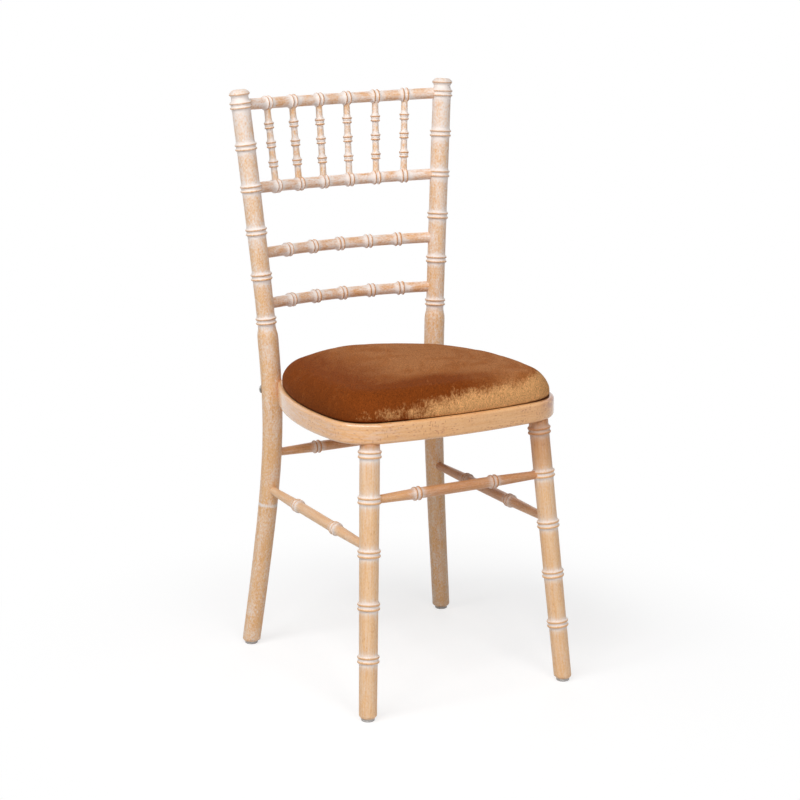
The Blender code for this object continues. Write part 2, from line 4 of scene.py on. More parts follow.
import bpy
import numpy as np
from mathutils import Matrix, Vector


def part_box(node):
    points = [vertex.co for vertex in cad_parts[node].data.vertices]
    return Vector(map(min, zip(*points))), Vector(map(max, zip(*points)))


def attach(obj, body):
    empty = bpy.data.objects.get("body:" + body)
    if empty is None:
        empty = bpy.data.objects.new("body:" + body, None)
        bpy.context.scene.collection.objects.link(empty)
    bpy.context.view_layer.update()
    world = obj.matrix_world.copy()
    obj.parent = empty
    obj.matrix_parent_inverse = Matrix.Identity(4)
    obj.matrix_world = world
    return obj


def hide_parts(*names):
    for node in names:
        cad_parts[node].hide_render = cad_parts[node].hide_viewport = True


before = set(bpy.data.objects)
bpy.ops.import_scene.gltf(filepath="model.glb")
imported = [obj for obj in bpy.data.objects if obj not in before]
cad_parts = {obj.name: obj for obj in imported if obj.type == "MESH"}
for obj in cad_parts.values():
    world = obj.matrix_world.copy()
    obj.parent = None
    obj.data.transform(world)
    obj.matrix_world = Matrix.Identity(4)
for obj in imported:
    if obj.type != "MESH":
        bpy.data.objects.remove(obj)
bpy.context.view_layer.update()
scene = bpy.context.scene
rng = np.random.default_rng(7)
chairBody = "chair_frame"
padBody = "seat_pad"
print("stage: frame loaded,", len(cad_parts), "nodes")


# Camera and room

view = {
    "place": (-1.7086, -3.0675, 1.3029),
    "azimuth": -29.09,      # degrees, from the front towards the viewer's left
    "elevation": 13.88,
    "lens": 101.77,
    "sensor": 36.0,
    "shiftX": 0.0015,
}


def makeCamera(values):
    azimuth = math.radians(values["azimuth"])
    data = bpy.data.cameras.new("camera")
    data.lens = values["lens"]
    data.sensor_width = values["sensor"]
    data.shift_x = values["shiftX"]
    camera = bpy.data.objects.new("camera", data)
    camera.location = values["place"]
    camera.rotation_euler = (math.radians(90 - values["elevation"]), 0.0, azimuth)
    scene.collection.objects.link(camera)
    scene.camera = camera


makeCamera(view)


# Routes: the axis of a piece as closely spaced points with the distance along it

def makeRoute(points):
    points = np.asarray(points, dtype=float)
    steps = np.linalg.norm(np.diff(points, axis=0), axis=1)
    reach = np.concatenate(([0.0], np.cumsum(steps)))
    ahead = np.gradient(points, reach, axis=0)
    ahead /= np.linalg.norm(ahead, axis=1, keepdims=True)
    return {"points": points, "reach": reach, "ahead": ahead, "length": reach[-1]}


# Places and directions at an array of distances, straight on beyond the two ends
def alongRoute(route, distance):
    distance = np.atleast_1d(np.asarray(distance, dtype=float))
    inside = np.clip(distance, 0.0, route["length"])
    place = np.stack([np.interp(inside, route["reach"], c) for c in route["points"].T], axis=-1)
    ahead = np.stack([np.interp(inside, route["reach"], c) for c in route["ahead"].T], axis=-1)
    ahead /= np.linalg.norm(ahead, axis=1, keepdims=True)
    return place + ahead * (distance - inside)[:, None], ahead


def distanceAtHeight(route, z):
    return np.interp(-np.asarray(z, dtype=float), -route["points"][:, 2], route["reach"])


def placeAtHeight(route, z):
    return alongRoute(route, distanceAtHeight(route, z))[0][0]


# Straight between two points, pushed sideways by an arch 4 t (1 - t)
def bowedRoute(first, last, bow=0.0, lean=0.0, count=240):
    share = np.linspace(0.0, 1.0, count)
    way = np.array([0.0, math.cos(lean), -math.sin(lean)])
    straight = np.outer(1 - share, first) + np.outer(share, last)
    return makeRoute(straight + np.outer(bow * 4 * share * (1 - share), way))


# Meshes

def makePiece(name, points, quads, triangles=()):
    mesh = bpy.data.meshes.new(name)
    mesh.from_pydata(np.asarray(points).tolist(), [], np.asarray(quads).tolist() + list(triangles))
    mesh.validate()
    mesh.shade_smooth()
    piece = bpy.data.objects.new(name, mesh)
    scene.collection.objects.link(piece)
    return piece


def addAttribute(piece, name, values):
    values = np.asarray(values, dtype=np.float32)
    kind, field = ("FLOAT_VECTOR", "vector") if values.ndim == 2 else ("FLOAT", "value")
    attribute = piece.data.attributes.new(name, kind, "POINT")
    attribute.data.foreach_set(field, values.ravel())


# Quads between the rows of a grid whose columns close round
def wrapQuads(rows, columns, closeRows=False):
    index = np.arange(rows * columns).reshape(rows, columns)
    if closeRows:
        index = np.concatenate((index, index[:1]))
    turned = np.roll(index, -1, axis=1)
    return np.stack((index[:-1], turned[:-1], turned[1:], index[1:]), axis=-1).reshape(-1, 4)


# A grid closed by a point at each end, its faces turned outwards
def closedGrid(name, grid):
    rows, columns, _ = grid.shape
    points = np.concatenate((grid.reshape(-1, 3), grid[:1].mean(axis=1), grid[-1:].mean(axis=1)))
    count = rows * columns
    ring = np.arange(columns)
    turned = np.roll(ring, -1)
    lastRow = count - columns
    low = np.stack((np.full(columns, count), ring, turned), axis=-1)
    high = np.stack((np.full(columns, count + 1), turned + lastRow, ring + lastRow), axis=-1)
    quads = wrapQuads(rows, columns)[:, ::-1]
    return makePiece(name, points, quads, np.concatenate((low, high)).tolist())


# A bell that is 1 in its middle and 1/e at its width; a power of 4 makes its top flatter
def bell(offset, width, power=2):
    return np.exp(-(offset / width) ** power)


# Share of the way from one value to another, kept between 0 and 1
def ramp(value, start, end):
    return np.clip((value - start) / (end - start), 0, 1)


def fitTable(table, heights):
    return np.interp(heights, *zip(*table))


# Circles of a changing radius carried along a route: place + radius (cos a across + sin a up).
# Each point also keeps its place in the straight length of wood that the piece was turned from.
def turnedPiece(name, route, distance, radius, sides, masks, levelFrom=None):
    place, ahead = alongRoute(route, distance)
    upright = abs(ahead[0, 2]) > 0.7
    across = np.cross(ahead, (0.0, 1.0, 0.0) if upright else (0.0, 0.0, 1.0))
    across /= np.linalg.norm(across, axis=1, keepdims=True)
    up = np.cross(across, ahead)
    angle = 2 * math.pi * (np.arange(sides) + 0.5) / sides
    cosine, sine = np.cos(angle), np.sin(angle)
    spoke = cosine[None, :, None] * across[:, None, :] + sine[None, :, None] * up[:, None, :]
    grid = place[:, None, :] + radius[:, None, None] * spoke
    if levelFrom is not None:      # the last rows are cut level with the floor
        low = distance >= levelFrom
        drop = (place[low, None, 2] - grid[low, :, 2]) / ahead[low, None, 2]
        grid[low] += drop[:, :, None] * ahead[low, None, :]
    piece = closedGrid(name, grid)
    wood = np.stack((radius[:, None] * cosine, radius[:, None] * sine,
                     np.broadcast_to(distance[:, None], (len(distance), sides))), axis=-1)
    wood = np.concatenate((wood.reshape(-1, 3), [[0, 0, distance[0]], [0, 0, distance[-1]]]))
    addAttribute(piece, "woodPlace", wood + rng.uniform(-3, 3, 3))
    for label, mask in masks.items():
        mask = np.broadcast_to(mask, distance.shape)
        addAttribute(piece, label, np.concatenate((np.repeat(mask, sides), mask[:1], mask[-1:])))
    return piece


# Rings turned on a piece

beads = {
    "pitch": 0.0073,        # between the two crests of a pair
    "proud": 0.0026,
    "halfWidths": (0.0023, 0.0021),
    "groove": 0.0008,
    "cove": 0.0058,         # flare before the first crest
    "coveRise": 0.0019,
    "ledge": 0.0052,        # slope after the second crest, with a small step in it
    "ledgeRise": 0.0012,
    "stepAt": 0.0034,
    "stepDrop": 0.0003,
    "stepLong": 0.0003,
    "coveWhite": 0.75,
    "ledgeWhite": 0.85,
    "fade": 0.0055,
    "farthest": 0.03,
}


# Radius over the shaft near a pair of beads: a cove that rises as its share to the power 1.6, two
# crests as half ellipses, a groove between them, then a slope that falls as its share to the
# power 1.3 and has a small step. Limewash stays in the groove, above the cove and on the slope.
def beadPair(offset, values):
    half = values["pitch"] / 2
    first, second = values["halfWidths"]
    coveShare = np.clip((offset + half + values["cove"]) / values["cove"], 0, 1)
    slopeShare = np.clip((half + values["ledge"] - offset) / values["ledge"], 0, 1)
    slope = values["ledgeRise"] * slopeShare ** 1.3
    stepStart = half + values["stepAt"]
    slope -= values["stepDrop"] * ramp(offset, stepStart, stepStart + values["stepLong"]) * slopeShare
    height = np.where(offset < 0, values["coveRise"] * coveShare ** 1.6, slope)
    height = np.where(np.abs(offset) <= half, values["groove"], height)
    ridge = np.zeros_like(offset)
    for crest, wide in ((-half, first), (half, second)):
        share = np.clip(1 - ((offset - crest) / wide) ** 2, 0, 1)
        height = np.maximum(height, values["proud"] * np.sqrt(share))
        # the rubbed band is wear, set 0.3 mm past each crest, towards the lower side of upright pieces, as painted
        # shade
        ridge += bell(offset - crest - 0.0003, wide * 0.62)
    ridge = np.clip(ridge, 0, 1)
    hollow = bell(offset, half - (first + second) * 0.35, 4)
    fade = values["fade"]
    above = np.clip(-offset - half - first * 0.6, 0, None) / fade
    below = np.clip(offset - half - second * 0.8, 0, None) / fade
    cove = values["coveWhite"] * np.exp(-above ** 1.3) * (offset < -half)
    slope = values["ledgeWhite"] * np.exp(-below ** 1.5) * (offset > half)
    return height, np.clip(hollow + (cove + slope) * (1 - ridge), 0, 1), ridge


# Distances that are close together over the rings and wide apart on the plain stretches
def ringSamples(start, end, centres, values, plainStep=0.004, fineStep=0.00042):
    before = values["pitch"] / 2 + values["cove"]
    after = values["pitch"] / 2 + values["ledge"]
    parts = [np.arange(start, end, plainStep), [end]]
    for centre in centres:
        parts.append(np.arange(centre - before, centre + after, fineStep))
    distance = np.unique(np.round(np.concatenate(parts), 6))
    return distance[(distance >= start) & (distance <= end)]


# Radius, hollow and ridge of a shaft with a pair of beads at each centre
def ringedProfile(distance, shaft, centres, values):
    radius = shaft + np.zeros_like(distance)
    wash = np.zeros_like(distance)
    ridge = np.zeros_like(distance)
    for centre in centres:
        offset = distance - centre
        near = np.abs(offset) < values["farthest"]
        height, hollow, crest = beadPair(offset, values)
        radius += np.where(near, height, 0)
        wash = np.maximum(wash, np.where(near, hollow, 0))
        ridge = np.maximum(ridge, np.where(near, crest, 0))
    return radius, wash, ridge


# Finishes: colours are written as they look on screen and turned into linear values

def linear(red, green, blue):
    values = np.array([red, green, blue]) / 255
    curved = np.where(values <= 0.04045, values / 12.92, ((values + 0.055) / 1.055) ** 2.4)
    return (*[float(value) for value in curved], 1.0)


# A socket that can be reckoned with: sums, differences and products make Math nodes
class Value:
    def __init__(self, tree, socket):
        self.tree = tree
        self.socket = socket

    def __add__(self, other):
        return mathNode(self.tree, "ADD", self, other)

    def __sub__(self, other):
        return mathNode(self.tree, "SUBTRACT", self, other)

    def __rsub__(self, other):
        return mathNode(self.tree, "SUBTRACT", other, self)

    def __mul__(self, other):
        return mathNode(self.tree, "MULTIPLY", self, other)


def setSocket(tree, socket, value):
    if isinstance(value, Value):
        tree.links.new(value.socket, socket)
    else:
        socket.default_value = value


def addNode(tree, kind, links=(), **settings):
    node = tree.nodes.new("ShaderNode" + kind)
    for name, value in settings.items():
        setattr(node, name, value)
    for socket, value in links:
        setSocket(tree, node.inputs[socket], value)
    return node


def nodeValue(tree, kind, output, links=(), **settings):
    return Value(tree, addNode(tree, kind, links, **settings).outputs[output])


def connect(node, values):
    for label, value in values.items():
        setSocket(value.tree, node.inputs[label], value)


def mathNode(tree, operation, first, second):
    return nodeValue(tree, "Math", 0, [(0, first), (1, second)], operation=operation)


def larger(first, second):
    return mathNode(first.tree, "MAXIMUM", first, second)


def mixColour(share, first, second, blend="MIX"):
    return nodeValue(share.tree, "Mix", 2, [(0, share), (6, first), (7, second)], data_type="RGBA", blend_type=blend)


def rangeNode(value, low, high, newLow=0.0, newHigh=1.0):
    links = [("Value", value), ("From Min", low), ("From Max", high), ("To Min", newLow), ("To Max", newHigh)]
    return nodeValue(value.tree, "MapRange", 0, links, clamp=True, interpolation_type="SMOOTHSTEP")


def scaled(place, scale, shift=(0.0, 0.0, 0.0)):
    return nodeValue(place.tree, "Mapping", 0, [("Vector", place), ("Scale", scale), ("Location", shift)])


# Noise stretched along the axes: the larger the scale of an axis, the finer the noise along it
def noise(place, scale, detail, roughness=0.55, distortion=0.0):
    links = [("Vector", scaled(place, scale)), ("Scale", 1.0), ("Detail", detail), ("Roughness", roughness),
             ("Distortion", distortion)]
    return nodeValue(place.tree, "TexNoise", "Fac", links)


def cells(place, scale, randomness=1.0):
    links = [("Vector", scaled(place, scale)), ("Scale", 1.0), ("Randomness", randomness)]
    node = addNode(place.tree, "TexVoronoi", links, feature="F1")
    return Value(place.tree, node.outputs["Distance"]), Value(place.tree, node.outputs["Color"])


def attribute(tree, name, output="Fac"):
    return nodeValue(tree, "Attribute", output, attribute_name=name)


def objectPlace(tree):
    return nodeValue(tree, "TexCoord", "Object")


# A node group with named inputs and outputs: an input without a value is a vector
def newGroup(name, inputs, outputs):
    group = bpy.data.node_groups.new(name, "ShaderNodeTree")
    for label, value in inputs.items():
        kind = "Vector" if value is None else "Color" if isinstance(value, tuple) else "Float"
        socket = group.interface.new_socket(label, in_out="INPUT", socket_type="NodeSocket" + kind)
        if value is not None:
            socket.default_value = value
    for label, kind in outputs.items():
        group.interface.new_socket(label, in_out="OUTPUT", socket_type="NodeSocket" + kind)
    start = group.nodes.new("NodeGroupInput")
    end = group.nodes.new("NodeGroupOutput")
    return group, {label: Value(group, start.outputs[label]) for label in inputs}, end


# Uses a group: the inputs come from the links, or from a finish by the name that it has there
def useGroup(tree, group, links, values, named):
    node = tree.nodes.new("ShaderNodeGroup")
    node.node_tree = group
    for label, value in (*links.items(), *((label, values[key]) for label, key in named.items())):
        setSocket(tree, node.inputs[label], value)
    return {output.name: Value(tree, output) for output in node.outputs}


# Beech: long soft streaks, fine pores along the grain and short dark flecks.
# Third part of the vector runs along the grain, in metres.
def makeBeechGroup():
    inputs = {"Place": None, "Light": (0.8, 0.6, 0.4, 1), "Dark": (0.6, 0.4, 0.2, 1), "Fleck": (0.4, 0.2, 0.1, 1),
              "Fleck Amount": 0.5}
    group, start, end = newGroup("beechGrain", inputs, {"Color": "Color", "Height": "Float", "Pores": "Float"})
    place = start["Place"]
    streak = noise(place, (190, 190, 9), 4.0, 0.6, 0.4)
    mottle = noise(place, (420, 420, 300), 3.0, 0.7)
    share = rangeNode(streak * 0.5 + mottle * 0.5, 0.34, 0.66)
    colour = mixColour(share, start["Dark"], start["Light"])
    flecks = rangeNode(cells(place, (260, 260, 95))[0], 0.30, 0.12)
    chosen = rangeNode(noise(place, (60, 60, 30), 1.0), 0.50, 0.62)
    colour = mixColour(flecks * chosen * start["Fleck Amount"], colour, start["Fleck"])
    pores = rangeNode(noise(place, (900, 900, 60), 2.0, 0.6), 0.50, 0.72)
    connect(end, {"Color": colour, "Height": streak - pores * 0.6, "Pores": pores})
    return group


# Limewash: white that stays in hollows and pores, broken up into specks and fine lines on the
# plain stretches, and rubbed off the crests of the rings.
# White share = cover + patches + specks + lines, each as (noise - 1/2) times its own strength.
def makeLimewashGroup():
    inputs = {"Place": None, "Wood": (0.8, 0.6, 0.4, 1), "White": (0.9, 0.88, 0.85, 1),
              "Rubbed": (0.6, 0.35, 0.15, 1), "Hollow": 0.0, "Ridge": 0.0, "Pores": 0.0, "Cover": 0.3,
              "Patches": 1.0, "Specks": 1.0, "Lines": 0.5, "Rub": 0.8}
    group, start, end = newGroup("limewash", inputs, {"Color": "Color", "Wash": "Float"})
    place = start["Place"]
    patches = noise(place, (75, 75, 34), 2.0, 0.5, 0.5)
    specks = noise(place, (400, 400, 270), 2.5, 0.66)
    lines = noise(place, (640, 640, 30), 2.0, 0.6)
    share = start["Cover"] + (patches - 0.5) * start["Patches"] + (specks - 0.5) * start["Specks"]
    share = share + (lines - 0.5) * start["Lines"] + start["Pores"] * 0.12 + start["Hollow"]
    broken = noise(place, (480, 480, 480), 2.0, 0.6)
    crest = rangeNode(start["Ridge"] + (broken - 0.5) * 1.5, 0.32, 0.95)
    rub = crest * rangeNode(start["Ridge"], 0.05, 0.4) * start["Rub"]
    wash = rangeNode(share, -0.15, 1.05) * (1.0 - rub)
    colour = mixColour(rub, start["Wood"], start["Rubbed"])
    connect(end, {"Color": mixColour(wash, colour, start["White"]), "Wash": wash})
    return group


beechGroup = makeBeechGroup()
limewashGroup = makeLimewashGroup()


def newMaterial(name, values):
    made = bpy.data.materials.new(name)
    made.use_nodes = True
    shader = made.node_tree.nodes["Principled BSDF"]
    for label, value in values.items():
        shader.inputs[label].default_value = value
    return made, made.node_tree, shader


def addBump(shader, height, strength, distance):
    links = [("Height", height), ("Strength", strength), ("Distance", distance)]
    connect(shader, {"Normal": nodeValue(height.tree, "Bump", 0, links)})


# Limewashed beech for turned pieces; how much white covers a plain stretch changes along it
def limewashedBeech(name, values):
    made, tree, shader = newMaterial(name, {"Coat Weight": values["coat"], "Coat Roughness": values["coatRough"]})
    place = attribute(tree, "woodPlace", "Vector")
    beech = useGroup(tree, beechGroup, {"Place": place}, values,
                     {"Light": "light", "Dark": "dark", "Fleck": "fleck", "Fleck Amount": "fleckAmount"})
    links = {"Place": place, "Wood": beech["Color"], "Pores": beech["Pores"]}
    links.update({label: attribute(tree, label.lower()) for label in ("Hollow", "Ridge", "Cover")})
    wash = useGroup(tree, limewashGroup, links, values,
                    {label: label.lower() for label in ("White", "Rubbed", "Patches", "Specks", "Lines", "Rub")})
    # painted shade: the paintedShade attribute multiplies the colour by the painted shade colour
    colour = mixColour(attribute(tree, "paintedShade"), wash["Color"], values["paintedShade"], "MULTIPLY")
    rough = rangeNode(wash["Wash"], 0.0, 1.0, values["roughWood"], values["roughWash"])
    connect(shader, {"Base Color": colour, "Roughness": rough})
    addBump(shader, beech["Height"], values["bump"], 0.0006)
    return made


limewash = {
    "light": linear(241, 197, 146),
    "dark": linear(229, 171, 106),
    "fleck": linear(200, 130, 64),
    "fleckAmount": 0.5,
    "white": linear(246, 234, 226),
    "rubbed": linear(214, 154, 92),
    "paintedShade": linear(206, 176, 152),      # multiplies the colour where painted shade lies: the hoop's on the leg tops, the seat's on the stretchers
    "patches": 1.0,
    "specks": 2.0,
    "lines": 0.4,
    "rub": 0.70,
    "coat": 0.25,
    "coatRough": 0.40,
    "roughWood": 0.50,
    "roughWash": 0.60,
    "bump": 0.25,
}
legWash = dict(limewash, light=linear(244, 201, 152), dark=linear(234, 180, 122), rubbed=linear(230, 174, 118),
               patches=0.3, specks=0.7, lines=1.0, rub=0.85)
# painted shade: a darker copy of the leg finish for the stretchers in the seat's shadow
shadedStretcherWash = dict(legWash, light=linear(236, 182, 128), dark=linear(216, 152, 94), rubbed=linear(206, 144, 88))
railWash = dict(limewash, light=linear(240, 192, 144), dark=linear(216, 152, 92), rubbed=linear(204, 140, 82),
                patches=1.7, specks=1.5, lines=0.8, rub=0.90)
spindleWash = dict(limewash, light=linear(247, 206, 154), dark=linear(232, 170, 102), rubbed=linear(210, 148, 88),
                   patches=1.3, specks=2.4, lines=0.8, rub=0.90)
postMaterial = limewashedBeech("limewashedPost", limewash)
legMaterial = limewashedBeech("limewashedLeg", legWash)
railMaterial = limewashedBeech("limewashedRail", railWash)
shadedStretcherMaterial = limewashedBeech("limewashedStretcherShaded", shadedStretcherWash)
spindleMaterial = limewashedBeech("limewashedSpindle", spindleWash)


# Room: a pale floor that looks white to the camera and keeps the shadow, with soft lamps

room = {
    "floorReach": 14.0,     # metres from the middle to each side
    "floorColour": (0.80, 0.80, 0.80, 1.0),
    "floorSeen": (0.36, 0.36, 0.36, 1.0),      # what the camera sees, with the lift added
    "cameraLift": 0.72,
    "clearFrom": 0.30,      # metres from the middle where the floor starts to turn plain white
    "clearTo": 0.75,
    "worldStrength": 0.12,
    "worldColour": (0.95, 0.94, 1.0, 1.0),
    "aim": (0.0, 0.0, 0.45),
    "lamps": (
        # azimuth from the front, elevation, distance, size, power
        (-84.0, 42.0, 4.0, 1.0, 34.0),
        (-60.0, 56.0, 4.0, 1.0, 42.0),
        (-35.0, 42.0, 4.0, 1.0, 28.0),
        (-5.0, 44.0, 4.0, 1.2, 30.0),
        (-5.0, 12.0, 4.0, 1.2, 15.0),
        (150.0, 34.0, 4.0, 1.8, 14.0),
    ),
}


# A square lamp at a direction and distance from the aim, turned to face it
def makeLamp(index, azimuth, elevation, distance, size, power):
    data = bpy.data.lights.new("lamp" + str(index), "AREA")
    data.shape = "SQUARE"
    data.size = size
    data.energy = power
    lamp = bpy.data.objects.new(data.name, data)
    turn, lift = math.radians(azimuth), math.radians(elevation)
    way = np.array([math.cos(lift) * math.sin(turn), -math.cos(lift) * math.cos(turn), math.sin(lift)])
    lamp.location = np.array(room["aim"]) + distance * way
    lamp.rotation_euler = (math.radians(90) - lift, 0.0, turn)
    scene.collection.objects.link(lamp)


# What sees the room directly, in a mirror or through glass sees it as white
def seenDirectly(tree):
    path = addNode(tree, "LightPath")
    camera, glossy, through = [Value(tree, path.outputs["Is " + kind + " Ray"])
                               for kind in ("Camera", "Glossy", "Transmission")]
    return larger(larger(camera, glossy), through)


def makeWorld(values):
    world = bpy.data.worlds.new("room")
    world.use_nodes = True
    seen = seenDirectly(world.node_tree)
    colour = mixColour(seen, values["worldColour"], (1.0, 1.0, 1.0, 1.0))
    strength = rangeNode(seen, 0.0, 1.0, values["worldStrength"], 1.0)
    connect(world.node_tree.nodes["Background"], {"Color": colour, "Strength": strength})
    scene.world = world


# The floor's paint, with light added for the camera; away from the middle it turns plain white
def makeFloor(values):
    size = values["floorReach"]
    corners = [(-size, -size, 0), (size, -size, 0), (size, size, 0), (-size, size, 0)]
    floor = makePiece("floor", corners, [(0, 1, 2, 3)])
    made, tree, shader = newMaterial("floorPaint", {"Roughness": 0.9, "Specular IOR Level": 0.0})
    seen = seenDirectly(tree)
    connect(shader, {"Base Color": mixColour(seen, values["floorColour"], values["floorSeen"])})

    def glow(strength):
        return nodeValue(tree, "Emission", 0, [("Color", (1, 1, 1, 1)), ("Strength", strength)])

    lift = nodeValue(tree, "MixShader", 0, [(0, seen), (1, glow(0.0)), (2, glow(values["cameraLift"]))])
    paint = nodeValue(tree, "AddShader", 0, [(0, Value(tree, shader.outputs[0])), (1, lift)])
    away = nodeValue(tree, "VectorMath", "Value", [(0, objectPlace(tree))], operation="LENGTH")
    clear = rangeNode(away, values["clearFrom"], values["clearTo"]) * seen
    shown = nodeValue(tree, "MixShader", 0, [(0, clear), (1, paint), (2, glow(1.0))])
    connect(tree.nodes["Material Output"], {"Surface": shown})
    floor.data.materials.append(made)


makeWorld(room)
makeFloor(room)
for index, lamp in enumerate(room["lamps"]):
    makeLamp(index, *lamp)
scene.view_settings.view_transform = "Standard"
print("stage: camera and room")


# Seat hoop outline: tangent arcs from the middle of the front to the middle of the back

hoop = {
    "frontY": -0.1881,
    "arcs": (
        # radius, turn in degrees
        (0.976, 8.0),
        (0.0709, 73.6),
        (0.450, 34.2),
        (0.060, 33.0),
    ),
    "bottom": 0.425,
    "height": 0.032,
    "width": 0.038,
    "rim": 0.008,
    "rebate": 0.013,
    "round": 0.0056,
    "innerRound": 0.0012,
    "around": 320,
    # painted shade on the right front corner and right end, reddish
    "shadeCorner": (0.175, 0.026),        # x and width of the reddish patch
    "shadeBackTo": 0.02,
    "shadeHeights": (0.4338, 0.4458),
    # painted reflection on the outer face, and more of it at the left end
    "paintedReflection": 0.05,
    "leftPaintedReflection": 0.30,
    "paintedReflectionFrom": (-0.075, -0.145),
    "paintedReflectionReach": 0.012,     # inwards from the outer face
}
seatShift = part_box("seat_hoop")[0].y - hoop["frontY"]      # the frame's origin is under its middle
hoopTop = hoop["bottom"] + hoop["height"]


def hoopArcs():
    arcs = []
    x, y, heading = 0.0, hoop["frontY"] + seatShift, 0.0
    for radius, degrees in hoop["arcs"]:
        turn = math.radians(degrees)
        centreX, centreY = x - radius * math.sin(heading), y + radius * math.cos(heading)
        arcs.append((centreX, centreY, radius, heading, heading + turn))
        heading += turn
        x, y = centreX + radius * math.sin(heading), centreY - radius * math.cos(heading)
    radius = x / math.sin(heading)
    arcs.append((0.0, y + radius * math.cos(heading), radius, heading, math.pi))
    return arcs


# Points of the half outline at an array of headings: centre + (radius - setIn) (sin h, -cos h)
def hoopPoint(heading, setIn=0.0):
    heading = np.atleast_1d(np.asarray(heading, dtype=float))
    arcs = np.array(hoopArcs())
    chosen = np.minimum(np.searchsorted(arcs[:, 4], heading - 1e-9), len(arcs) - 1)
    centreX, centreY, radius = arcs[chosen, 0], arcs[chosen, 1], arcs[chosen, 2]
    reach = radius - setIn
    return np.stack((centreX + reach * np.sin(heading), centreY - reach * np.cos(heading)), axis=-1)


# Headings evenly spaced along the whole outline, right half first, and the length up to each
def hoopHeadings(count):
    arcs = np.array(hoopArcs())
    reach = np.concatenate(([0.0], np.cumsum(arcs[:, 2] * (arcs[:, 4] - arcs[:, 3]))))
    turns = np.concatenate(([0.0], arcs[:, 4]))
    lengths = np.arange(count) / count * 2 * reach[-1]
    folded = np.minimum(lengths, 2 * reach[-1] - lengths)
    side = np.where(lengths <= reach[-1], 1.0, -1.0)
    return np.interp(folded, reach, turns), side, lengths


# Closed outline moved in by setIn, one amount or one for each point
def outline(setIn, count):
    heading, side, _ = hoopHeadings(count)
    return hoopPoint(heading, setIn) * np.stack((side, np.ones_like(side)), axis=-1)


# The outline as a level ring of points
def outlineRing(setIn, z, count):
    return np.column_stack((outline(setIn, count), np.full(count, z)))


# Rear posts

post = {
    "heading": 139.2,
    "boltZ": 0.4370,
    "notch": 0.0006,
    "gap": 0.0003,
    "splayBelow": (0.1194, 0.1008),
    "leanAbove": (0.0872, 0.0848),
    "bendZ": 0.3757,
    "softness": 0.1482,
    "top": 0.923,
    "footZ": 0.0053,
    "scribeZ": 0.245,
    "ringDrops": (0.0257, 0.0913, 0.1577, 0.2267, 0.2995, 0.3714),
    "radius": ((0.0, 0.0148), (0.10, 0.0150), (0.20, 0.0154), (0.30, 0.0160), (0.39, 0.0164), (0.46, 0.0167),
               (0.522, 0.0169), (0.527, 0.0168), (0.532, 0.0160), (0.536, 0.0150), (0.540, 0.0144), (0.545, 0.0142),
               (0.556, 0.0146), (0.59, 0.0148), (0.72, 0.0149), (0.80, 0.0151), (0.923, 0.0150)),
    "cover": ((0.0, 0.20), (0.30, 0.16), (0.50, 0.22), (0.62, 0.30), (0.80, 0.42), (0.923, 0.66)),
    "finial": ((0.0010, 0.0), (0.0011, 0.0094), (0.0015, 0.0106), (0.0023, 0.0121), (0.0038, 0.0140),
               (0.0056, 0.0156), (0.0070, 0.0164), (0.0080, 0.0167), (0.0089, 0.0165), (0.0098, 0.0156),
               (0.0110, 0.0145), (0.0125, 0.0139), (0.0145, 0.0137), (0.0175, 0.0138)),
    "rubbedEdge": (0.0084, 0.0012),     # along the finial: middle and width of what is rubbed
    "rubbedTop": (0.0015, 0.0007),
    "whiteNeck": (0.0140, 0.0040),
    "neckWhite": 0.6,
    "scribeWidth": 0.0022,
    "sides": 48,
}


def postOffset(z, below, above):
    rise = z - post["bendZ"]
    return (above - below) / 2 * rise + (above + below) / 2 * np.hypot(rise, post["softness"])


def postRoute(side):
    heading = math.radians(post["heading"])
    edge = hoopPoint(heading)[0]
    standOff = fitTable(post["radius"], post["boltZ"]) + post["gap"] - post["notch"]
    base = edge + standOff * np.array([math.sin(heading), -math.cos(heading)])
    z = np.linspace(post["top"], post["footZ"], 500)
    columns = []
    for start, below, above in zip(base, post["splayBelow"], post["leanAbove"]):
        columns.append(start + postOffset(z, below, above) - postOffset(post["boltZ"], below, above))
    return makeRoute(np.column_stack((side * columns[0], columns[1], z)))


# Front legs

leg = {
    "heading": 26.0,
    "setIn": 0.0166,
    "splay": (0.0649, 0.0995),
    "ringZ": (0.4077, 0.3384, 0.2570, 0.1763, 0.0949),
    "radius": ((0.0, 0.0140), (0.05, 0.0141), (0.15, 0.0147), (0.24, 0.0150), (0.36, 0.0155), (0.425, 0.0154)),
    "cover": ((0.0, 0.10), (0.20, 0.06), (0.35, 0.10), (0.425, 0.30)),
    # painted shade of the hoop and seat on the leg tops, by height: short on the left leg, long on the right
    "paintedShade": {
        "left": ((0.0, 0.0), (0.412, 0.0), (0.418, 0.55), (0.425, 1.0)),
        "right": ((0.0, 0.0), (0.335, 0.0), (0.365, 0.55), (0.400, 0.75), (0.425, 1.0)),
    },
    "sides": 48,
    "footChamfer": 0.0025,
    "chamferHeight": 0.0040,
}
legBeads = dict(beads, pitch=0.0074, proud=0.0028, halfWidths=(0.0026, 0.0024), groove=0.0014)


def legRoute(side):
    topX, topY = hoopPoint(math.radians(leg["heading"]), leg["setIn"])[0]
    z = np.linspace(hoop["bottom"], post["footZ"], 200)
    drop = hoop["bottom"] - z
    return makeRoute(np.column_stack((side * (topX + leg["splay"][0] * drop), topY - leg["splay"][1] * drop, z)))


# The foot: straight, then chamfered over its last few millimetres
def footChamfer(distance, length):
    share = np.clip((distance - (length - leg["chamferHeight"])) / leg["chamferHeight"], 0, 1)
    return leg["footChamfer"] * share ** 1.6


